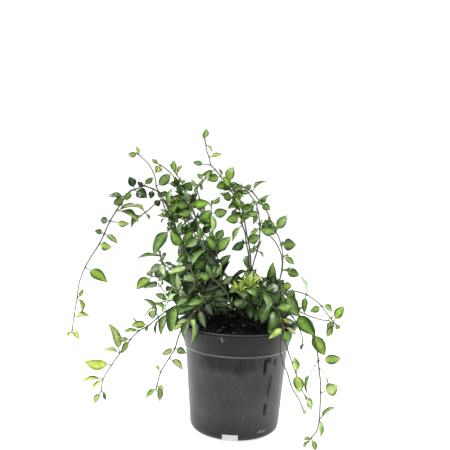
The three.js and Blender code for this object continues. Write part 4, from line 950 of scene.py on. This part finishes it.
def add_shoot(skin, at, heading, count, length, tone, settings, draw):
    """A short side shoot that has just opened: so many slender leaves round its tip."""
    heading = unit(heading)
    side = square_to(np.array([0.2, 0.4, 0.9]), heading)
    across = np.cross(heading, side)
    for number in range(count):
        turn = number * LEAF_TURN + draw.uniform(-0.3, 0.3)
        spread = 0.35 + 0.75 * number / count
        out = math.cos(turn) * side + math.sin(turn) * across
        along = unit(heading + spread * out)
        up = square_to(heading - 0.3 * out, along)
        size = length * draw.uniform(0.7, 1.1)
        leaf = small_leaf(at + heading * 0.5 * MM, along, up, size, size * draw.uniform(0.19, 0.27))
        shade = changed(tone, draw.gauss(0, 0.08), draw.gauss(0, 0.06), draw.gauss(0, 0.2))
        add_blade(skin, leaf, shade, settings.leaf, draw)
        path = [at - heading * 0.8 * MM, at, leaf.base, leaf.base + along * 0.08 * size]
        skin.add_tube(path, np.array([0.5, 0.5, 0.34, 0.28]) * MM, 5, (0.8, 0, 0))


def add_axil_leaves(skin, leaf, tone, size, settings, draw):
    """The small pair of leaves that opens where a leaf meets the stem."""
    rise = unit(np.array([draw.gauss(0, 0.5), draw.gauss(-0.25, 0.5), draw.uniform(0.2, 1.0)]))
    heading = unit(leaf.along * draw.uniform(0.2, 0.7) + rise)
    length = draw.uniform(6.0, 10.5) * size * MM
    paler = changed(tone, 0.12, -0.15, 0)
    add_shoot(skin, leaf.seat + heading * 1.2 * MM, heading, 2, length, paler, settings, draw)


def add_stem(skin, name, rings, settings):
    """The stem with its swollen joints. Gives its path, and the share of its length at each place of it."""
    centres = np.array([ring.mean(0) for ring in rings])
    widths = [np.linalg.norm(ring - ring.mean(0), axis=1).mean() for ring in rings]
    path, on_rings = smooth_path(centres, settings.step)
    share = np.append(0, np.cumsum(np.linalg.norm(np.diff(path, axis=0), axis=1)))
    share = share / share[-1]
    near_joint = np.zeros(len(path))
    for low, high in zip(centres, centres[1:]):
        if norm(high - low) < JOINT_STEP:
            far = np.linalg.norm(path - (low + high) / 2, axis=1) / JOINT_REACH
            near_joint = np.maximum(near_joint, np.exp(-(far**2)))
    radii = np.interp(on_rings, np.arange(len(widths)), widths) * settings.slim
    black = name == DARK_VINE
    dark = np.clip(0.45 * black + (0.9 if black else 0.32) * near_joint, 0, 1)
    fresh = np.clip(0.05 + 0.65 * share**2.5, 0, 1)
    tones = np.repeat(np.column_stack([fresh, dark, np.zeros(len(path))]), settings.sides, axis=0)
    skin.add_tube(path, radii * (1 + settings.swelling * near_joint), settings.sides, tones)
    return path, share


def within(place, part):
    """Whether a place is inside a part of the bush."""
    middle, reach = part
    return norm((place - middle) / reach) < 1.0


def nearest_on(path, place):
    return int(np.argmin(np.linalg.norm(path - place, axis=1)))


def add_leaf(skin, leaf, name, path, share, middles, settings, draw):
    """A leaf of the frame on its stalk, with a small pair in its axil where the bush is dense."""
    foot = nearest_on(path, leaf.seat)
    tone = tone_of(leaf.middle, share[foot], middles, draw)
    breadth = draw.uniform(0.68, 0.95) if name in INNER_VINES else draw.uniform(0.88, 1.1)
    breadth *= settings.leaf.breadth * (1 + BROADER * nearness(*seen_from_front(leaf.middle), *BROAD_SPOT))
    add_blade(skin, leaf, tone, settings.leaf, draw, breadth)
    into_blade = leaf.base + leaf.along * 0.05 * leaf.length
    stalk, _ = smooth_path([path[foot], leaf.seat, leaf.base, into_blade], 0.9 * MM)
    skin.add_tube(stalk, np.linspace(*STALK_RADII, len(stalk)), 6, (0.5 + 0.4 * tone[0], 0.0, 0.0))
    low = within(leaf.middle, LOW)
    if low or (within(leaf.middle, BUSH) and draw.random() < settings.leaf.axils):
        add_axil_leaves(skin, leaf, tone, 1.3 if low else 1.0, settings, draw)


def add_tip_leaves(skin, path, middles, settings, draw):
    """The last pair of leaves, still small and upright."""
    along = unit(path[-1] - path[-2])
    turn = draw.uniform(0, math.pi)
    side = square_to(np.array([math.cos(turn), math.sin(turn), 0.3]), along)
    for sign in (1, -1):
        lean = unit(along + sign * 0.45 * side)
        up = square_to(-sign * side, lean)
        length = draw.uniform(3.2, 5.0) * MM
        leaf = small_leaf(path[-1] - along * 0.3 * MM, lean, up, length, 0.22 * length)
        tone = tone_of(leaf.middle, 1.0, middles, draw) + (0.2, 0, 0)
        add_blade(skin, leaf, tone, settings.leaf, draw)


def add_side_shoots(skin, name, path, settings, draw):
    """The side shoots of the table that stand on this vine, each on a bare stalk that sags a little."""
    for place, heading, stalk, count, length, tone in SHOOTS.get(name, ()):
        start = path[nearest_on(path, np.array(place) * MM)]
        heading = unit(np.array(heading, float))
        end = start + heading * stalk * MM
        sag = (0, 0, 0.06 * stalk * MM)
        line, _ = smooth_path([start, (start + end) / 2 - sag, end], 1.5 * MM)
        # The bare stalk takes some of the shoot's darkness, which is partly painted shade
        skin.add_tube(line, np.linspace(0.75, 0.5, len(line)) * MM, 6, (tone[0], tone[1] * 0.6, 0))
        opens = 0.6 * heading + (0.15, -0.15, 0.7)
        add_shoot(skin, end, opens, count, length * MM, tone, settings, draw)


def grow_vine(name, rings, leaves, middles, settings, draw):
    """A leafy stem from the rings and leaves of its solid."""
    skin = Skin()
    path, share = add_stem(skin, name, rings, settings.stem)
    for leaf in leaves:
        add_leaf(skin, leaf, name, path, share, middles, settings, draw)
    add_tip_leaves(skin, path, middles, settings, draw)
    add_side_shoots(skin, name, path, settings, draw)
    return skin


class PERIWINKLE_OT_vines(bpy.types.Operator):
    """Grow every leafy stem of the frame again, with fine blades, stalks, veins and joints"""

    bl_idname = "periwinkle.vines"
    bl_label = "Leafy Stems"

    def execute(self, context):
        settings = context.scene.periwinkle
        materials = [
            leaf_material("Leaf upper side", settings.leaf, False),
            leaf_material("Leaf underside", settings.leaf, True),
            stem_material(settings.stem),
        ]
        vines = {name: read_vine(name) for name in VINES}
        middles = np.array([leaf.middle for _, leaves in vines.values() for leaf in leaves])
        for number, (name, (rings, leaves)) in enumerate(vines.items()):
            skin = grow_vine(name, rings, leaves, middles, settings, random.Random(VINE_SEED + number))
            piece = skin.piece(name.replace("vine_", "stem_"), materials)
            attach(piece, "root")
            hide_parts(name)
        return {"FINISHED"}


# Soil


def soil_height(x, y):
    """Height of the soil's surface in millimetres."""
    out = math.hypot(x, y) / SOIL_EDGE_RADIUS
    inner = max(0.0, 1 - out**4)
    lumps = sum(math.sin(per_x * x + per_y * y + start) for per_x, per_y, start in SOIL_WAVES)
    clod = CLOD_HEIGHT * nearness(x, y, *CLOD, CLOD_RADIUS)
    return SOIL_EDGE_HEIGHT + SOIL_MOUND * (1 - out * out) + (SOIL_LUMP * lumps + clod) * inner


def dryness(x, y):
    """How dry the surface is: the clod has dried out."""
    return 0.75 * nearness(x, y, *CLOD, 1.6 * CLOD_RADIUS)


def surface(x, y, lift=0.0, roughness=1.0):
    """A place so far above the soil's crumbly surface, in millimetres."""
    coarse = noise.noise(Vector((x * 0.35, y * 0.35, 3.1)))
    fine = noise.noise(Vector((x * 1.1, y * 1.1, 7.7)))
    return x, y, soil_height(x, y) + (0.75 * coarse + 0.45 * fine) * roughness + lift


def add_soil_body(skin):
    """The soil from its crumbly surface down to the pot's floor."""
    sides, rings = 180, 54
    angles = np.arange(sides) * 2 * math.pi / sides
    places, tones = [], []
    for radius in np.linspace(0, 1, rings + 1)[1:] ** 0.8 * SOIL_EDGE_RADIUS:
        for x, y in (polar(radius, angle) for angle in angles):
            places.append(surface(x, y, roughness=min(1.0, (SOIL_EDGE_RADIUS - radius) / 3.0)))
            tones.append((dryness(x, y), 0.0, 0.0))
    profile = (
        (COLLAR_RADIUS - WALL - SOIL_GAP, COLLAR_BASE + SOIL_GAP),
        (BODY_TOP_RADIUS - WALL - SOIL_GAP, COLLAR_BASE - 1.0),
        (BODY_FOOT_RADIUS - WALL - SOIL_GAP, FLOOR_TOP + SOIL_GAP),
    )
    for radius, height in profile:
        places += [(*polar(radius, angle), height) for angle in angles]
    top = len(places)
    places.append((0.0, 0.0, soil_height(0, 0)))
    tones += [(0.0, 0.0, 0.0)] * (len(places) - len(tones))
    faces = loops_to_faces(rings + len(profile), sides, start_cap=False, flip=True)
    faces += [[k, (k + 1) % sides, top] for k in range(sides)]
    skin.add(np.array(places) * MM, faces, np.array(tones))


def lump(draw, level):
    """A ball of flat faces, knocked out of round."""
    ball = bmesh.new()
    bmesh.ops.create_icosphere(ball, subdivisions=level, radius=1.0)
    seed = Vector((draw.uniform(0, 90), draw.uniform(0, 90), 0))
    places = [v.co * (1 + 0.55 * noise.noise(v.co * 1.3 + seed)) for v in ball.verts]
    faces = [[v.index for v in face.verts] for face in ball.faces]
    ball.free()
    return np.array(places), faces


def add_crumbs(skin, settings, draw):
    """Loose crumbs, most of them small, and a fifth of them heaped on the clod."""
    small, large = [lump(draw, 1) for _ in range(8)], [lump(draw, 2) for _ in range(6)]
    for _ in range(settings.crumbs):
        big = draw.random() < 0.16
        places, faces = draw.choice(large if big else small)
        size = settings.crumb_size / MM * (draw.uniform(0.7, 1.35) if big else draw.uniform(0.25, 0.6))
        piled = draw.random() < 0.2
        if piled:
            x, y = CLOD[0] + 4 + draw.gauss(0, 6), CLOD[1] - 5 + draw.gauss(0, 8)
        else:
            x, y = polar((SOIL_EDGE_RADIUS - 2.5) * math.sqrt(draw.random()), draw.uniform(0, 2 * math.pi))
        if math.hypot(x, y) > SOIL_EDGE_RADIUS - 2.0:
            continue
        upright, level = (Matrix.Rotation(draw.uniform(0, FULL_TURN), 3, axis) for axis in "ZX")
        stretch = np.array([draw.uniform(0.8, 1.7), 1.0, draw.uniform(0.5, 0.9)]) * size
        moved = (places * stretch) @ np.array(upright @ level).T
        moved += surface(x, y, lift=0.1 * size + piled * draw.uniform(0, 3.0))
        dry = min(1.0, max(0.0, dryness(x, y) + 0.3 * piled + draw.gauss(0.0, 0.12)))
        skin.add(moved * MM, faces, (dry, 0.25 * (draw.random() < 0.04), 0.0))


def add_fibre(skin, at, along, up, draw):
    """A thin bowed fibre."""
    bow = draw.uniform(1.0, 3.0)
    shares = np.linspace(-1, 1, 9)
    path = at + np.outer(shares * draw.uniform(4, 9), along) + np.outer(bow * (1 - shares**2) - 0.4, up)
    skin.add_tube(path * MM, np.full(9, 0.22 * MM), 5, (0.5, 0.2, 0.0), 0)


def add_flake(skin, at, along, up, draw):
    """A curled flake of bark or dead leaf."""
    length, half, curl = draw.uniform(3.5, 9.0), draw.uniform(0.9, 2.2), draw.uniform(0.5, 1.8)
    side = np.cross(up, along)
    across = np.array([-1, -0.5, 0, 0.5, 1])
    loops = []
    for t in np.linspace(-1, 1, 7):
        wide = half * (1 - 0.75 * abs(t) ** 2.5)
        flat = at + along * t * length / 2 + np.outer(across * wide, side)
        bent = flat + np.outer(curl * (across**2 * 0.5 + 0.3 * t * t), up)
        loops.append(np.vstack([bent + 0.18 * up, (bent - 0.18 * up)[::-1]]))
    skin.add(np.vstack(loops) * MM, loops_to_faces(7, 10, flip=True), (0.25, draw.uniform(0.15, 0.6), 0.0))


def add_litter(skin, settings, draw):
    """Flakes and a few fibres that lie on the surface, most of them near the front."""
    for number in range(settings.flakes):
        radius = (SOIL_EDGE_RADIUS - 9) * math.sqrt(draw.random())
        x, y = polar(radius, draw.uniform(-2.6, -0.4) if number % 3 else draw.uniform(0, FULL_TURN))
        at = np.array([x, y, soil_height(x, y) + 0.9])
        heading = draw.uniform(0, FULL_TURN)
        along = unit(np.array([*polar(1, heading), draw.uniform(-0.1, 0.25)]))
        up = square_to(np.array([draw.gauss(0, 0.3), draw.gauss(0, 0.3), 1.0]), along)
        (add_flake if number % 4 else add_fibre)(skin, at, along, up, draw)


class PERIWINKLE_OT_soil(bpy.types.Operator):
    """Fill the pot with crumbly peat, with loose crumbs, bark flakes and fibres on its surface"""

    bl_idname = "periwinkle.soil"
    bl_label = "Soil"

    def execute(self, context):
        settings = context.scene.periwinkle.soil
        draw = random.Random(SOIL_SEED)
        skin = Skin()
        add_soil_body(skin)
        add_crumbs(skin, settings, draw)
        add_litter(skin, settings, draw)
        piece = skin.piece("potting_soil", [soil_material(settings)])
        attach(piece, "root")
        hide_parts("soil")
        return {"FINISHED"}


# Pot


def arc(radius, height, wide, tall, start, end, count):
    """So many points of an arc round a place of the section, from one angle in degrees to another."""
    turns = np.radians(np.linspace(start, end, count))
    return [(radius + wide * math.cos(turn), height + tall * math.sin(turn)) for turn in turns]


def pot_outline(settings):
    """The pot's section as radius and height in millimetres, from under its middle out, up and back in."""
    bead, lip = settings.bead / MM, settings.lip / MM / 2 + 0.6
    rim, top = RIM_RADIUS / MM, POT_HEIGHT / MM
    slope = (rim - COLLAR_RADIUS) / (top - 1.0 - COLLAR_BASE)
    return [
        (0.0, 0.0),
        (CENTRE_FOOT_RADIUS - 0.5, 0.0),
        (CENTRE_FOOT_RADIUS, 0.5),
        (CENTRE_FOOT_RADIUS, FLOOR_UNDERSIDE),
        (FOOT_INNER_RADIUS, FLOOR_UNDERSIDE),
        (FOOT_INNER_RADIUS, 0.4),
        (FOOT_INNER_RADIUS + 0.4, 0.0),
        *arc(BODY_FOOT_RADIUS - FOOT_ROUND, FOOT_ROUND, FOOT_ROUND, FOOT_ROUND, -90, 0, 8),
        (BODY_TOP_RADIUS - 0.35, COLLAR_BASE - 5.0),
        (BODY_TOP_RADIUS, COLLAR_BASE - 1.4),
        *arc(COLLAR_RADIUS - 0.1, COLLAR_BASE, bead, 1.1, -90, 90, 7),
        (COLLAR_RADIUS + slope * 1.6, COLLAR_BASE + 1.6),
        (rim - 0.4 - 4.2 * slope, top - 4.8),
        (rim - 0.1, top - 3.0),
        *arc(rim - lip, top - 0.9, lip, 0.9, 0, 180, 7),
        (rim - WALL - 1.0 * slope, top - 2.4),
        (COLLAR_RADIUS - WALL, COLLAR_BASE),
        (BODY_TOP_RADIUS - WALL, COLLAR_BASE - 1.0),
        (BODY_FOOT_RADIUS - WALL, FLOOR_TOP),
        (0.0, FLOOR_TOP),
    ]


def turned(outline, sides):
    """The outline turned round the upright axis, as a mesh."""
    shape = bmesh.new()
    verts = [shape.verts.new((radius * MM, 0.0, height * MM)) for radius, height in outline]
    geom = verts + [shape.edges.new(pair) for pair in zip(verts, verts[1:])]
    bmesh.ops.spin(
        shape, geom=geom, cent=(0, 0, 0), axis=(0, 0, 1), angle=2 * math.pi, steps=sides, use_merge=True
    )
    bmesh.ops.remove_doubles(shape, verts=shape.verts, dist=WELD)
    bmesh.ops.recalc_face_normals(shape, faces=shape.faces)
    return shape


def cutters():
    """The notches under the foot ring and the drain holes, as one mesh of separate solids."""
    shape = bmesh.new()
    start = FOOT_INNER_RADIUS - 1.0
    depth = BODY_FOOT_RADIUS - start + 1.0
    for i in range(NOTCHES):
        size = Matrix.Diagonal((depth * MM, NOTCH_WIDTH * MM, 2 * NOTCH_HEIGHT * MM, 1))
        place = Matrix.Translation(((start + depth / 2) * MM, 0, 0))
        turn = Matrix.Rotation(NOTCH_TURN + i * 2 * math.pi / NOTCHES, 4, "Z")
        bmesh.ops.create_cube(shape, size=1.0, matrix=turn @ place @ size)
    for i in range(DRAINS):
        place = Matrix.Translation((DRAIN_CIRCLE * MM, 0, (FLOOR_UNDERSIDE + FLOOR_TOP) / 2 * MM))
        turn = Matrix.Rotation((i + 0.5) * 2 * math.pi / DRAINS, 4, "Z")
        bmesh.ops.create_cone(
            shape, cap_ends=True, segments=32, radius1=DRAIN_RADIUS * MM, radius2=DRAIN_RADIUS * MM,
            depth=4 * MM, matrix=turn @ place,
        )
    return shape


def object_from(shape, name):
    mesh = bpy.data.meshes.new(name)
    shape.to_mesh(mesh)
    shape.free()
    return into_scene(name, mesh)


def sorted_mesh(mesh):
    """The same mesh with its points and faces sorted by place, since a cut gives them in any order."""
    points = sorted(mesh.vertices, key=lambda point: tuple(point.co))
    rank = {point.index: place for place, point in enumerate(points)}
    faces = []
    for polygon in mesh.polygons:
        corners = [rank[index] for index in polygon.vertices]
        first = corners.index(min(corners))
        faces.append(corners[first:] + corners[:first])
    result = bpy.data.meshes.new(mesh.name)
    result.from_pydata([point.co for point in points], [], sorted(faces), shade_flat=False)
    return result


class PERIWINKLE_OT_pot(bpy.types.Operator):
    """Make the nursery pot: rolled rim, collar with its bead, notched foot ring and drain holes"""

    bl_idname = "periwinkle.pot"
    bl_label = "Nursery Pot"

    def execute(self, context):
        settings = context.scene.periwinkle.pot
        piece = object_from(turned(pot_outline(settings), settings.sides), "nursery_pot")
        uncut = len(piece.data.polygons)
        cutter = object_from(cutters(), "pot_cutter")
        cut = piece.modifiers.new("Notches and drains", "BOOLEAN")
        cut.operation, cut.solver, cut.object = "DIFFERENCE", "EXACT", cutter
        mesh = bpy.data.meshes.new_from_object(piece.evaluated_get(context.evaluated_depsgraph_get()))
        piece.modifiers.clear()
        bpy.data.objects.remove(cutter)
        if len(mesh.polygons) in (0, uncut):
            raise RuntimeError("the pot's notches and drains could not be cut")
        piece.data = mesh = sorted_mesh(mesh)
        mesh.materials.append(pot_material(settings))
        mesh.set_sharp_from_angle(angle=SHARP_ANGLE)
        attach(piece, "root")
        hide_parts("pot")
        return {"FINISHED"}


# Stage


def floor_material(settings):
    """Pale paper that lets some light through, and more of it where it rises behind the object."""
    material, w, shader, place = new_material(
        "Pale floor", {"Roughness": 0.7, "Specular IOR Level": 0.3, "Emission Strength": 1.0}
    )
    height = w.split(place)[2]
    w.feed(shader, {
        "Base Color": w.mix(w.noise(place, 2.0, 2.0, 0.5), (0.4, 0.4, 0.4), (0.43, 0.43, 0.43)),
        "Emission Color": w.mix(height.ramp(0.02, 0.8), [settings.glow] * 3, [settings.backdrop] * 3),
    })
    return material


def floor_shape(reach):
    """A round floor whose edge curves up."""
    profile = [(share * reach, 0.0) for share in FLOOR_RADII]
    for step in range(1, FLOOR_STEPS + 1):
        turn = step / FLOOR_STEPS * math.pi / 2
        out = FLOOR_RADII[-1] + FLOOR_CURVE * math.sin(turn)
        profile.append((out * reach, FLOOR_CURVE * (1 - math.cos(turn)) * reach))
    profile.append(((FLOOR_RADII[-1] + FLOOR_CURVE) * reach, FLOOR_TOP_EDGE * reach))
    angles = [k * 2 * math.pi / FLOOR_SIDES for k in range(FLOOR_SIDES)]
    shape = bmesh.new()
    rings = [[shape.verts.new((*polar(out, angle), up)) for angle in angles] for out, up in profile]
    shape.faces.new(rings[0])
    for low, high in zip(rings, rings[1:]):
        for k in range(FLOOR_SIDES):
            after = (k + 1) % FLOOR_SIDES
            shape.faces.new((low[k], high[k], high[after], low[after])).smooth = True
    bmesh.ops.recalc_face_normals(shape, faces=shape.faces)
    return shape


def add_light(name, place, aim_height, size, power):
    """A round soft light that looks at the upright axis."""
    data = bpy.data.lights.new(name, "AREA")
    data.shape, data.size, data.energy = "DISK", size, power
    light = into_scene(name, data)
    light.location = place
    aim = Vector((0, 0, aim_height)) - Vector(place)
    light.rotation_euler = aim.to_track_quat("-Z", "Y").to_euler()


class PERIWINKLE_OT_stage(bpy.types.Operator):
    """Lay the pale floor, set the soft lights and stand the camera where the photographer stood"""

    bl_idname = "periwinkle.stage"
    bl_label = "Floor, Lights and Camera"

    def execute(self, context):
        scene = context.scene
        settings = scene.periwinkle.stage
        floor = object_from(floor_shape(settings.reach), "floor")
        floor.data.materials.append(floor_material(settings))
        for name, light in LIGHTS.items():
            add_light(name, *light, getattr(settings, name.split(".")[0]))
        scene.world = bpy.data.worlds.new("studio")
        scene.world.use_nodes = True
        background = scene.world.node_tree.nodes["Background"]
        background.inputs["Color"].default_value = (1.0, 1.0, 1.0, 1.0)
        background.inputs["Strength"].default_value = settings.sky
        scene.view_settings.view_transform = "Standard"
        data = bpy.data.cameras.new("camera")
        data.lens = LENS
        scene.camera = into_scene("camera", data)
        turn = Matrix.Rotation(-EYE_YAW, 4, "Z") @ Matrix.Rotation(math.pi / 2 - EYE_PITCH, 4, "X")
        scene.camera.matrix_world = Matrix.Translation(EYE) @ turn @ Matrix.Rotation(EYE_ROLL, 4, "Z")
        return {"FINISHED"}


class PERIWINKLE_PT_panel(bpy.types.Panel):
    """Lists the steps that make the potted periwinkle"""

    bl_idname = "PERIWINKLE_PT_panel"
    bl_label = "Potted Periwinkle"
    bl_space_type = "VIEW_3D"
    bl_region_type = "UI"
    bl_category = "Periwinkle"

    def draw(self, context):
        for operator in OPERATORS:
            self.layout.operator(operator.bl_idname)


OPERATORS = (PERIWINKLE_OT_stage, PERIWINKLE_OT_pot, PERIWINKLE_OT_soil, PERIWINKLE_OT_vines)
CLASSES = (
    PotSettings,
    SoilSettings,
    LeafSettings,
    StemSettings,
    StageSettings,
    PlantSettings,
    *OPERATORS,
    PERIWINKLE_PT_panel,
)


def register():
    for cls in CLASSES:
        bpy.utils.register_class(cls)
    bpy.types.Scene.periwinkle = PointerProperty(type=PlantSettings)


def unregister():
    del bpy.types.Scene.periwinkle
    for cls in reversed(CLASSES):
        bpy.utils.unregister_class(cls)


def main():
    register()
    bpy.ops.periwinkle.stage()
    bpy.ops.periwinkle.pot()
    bpy.ops.periwinkle.soil()
    bpy.ops.periwinkle.vines()


if __name__ == "__main__":
    main()
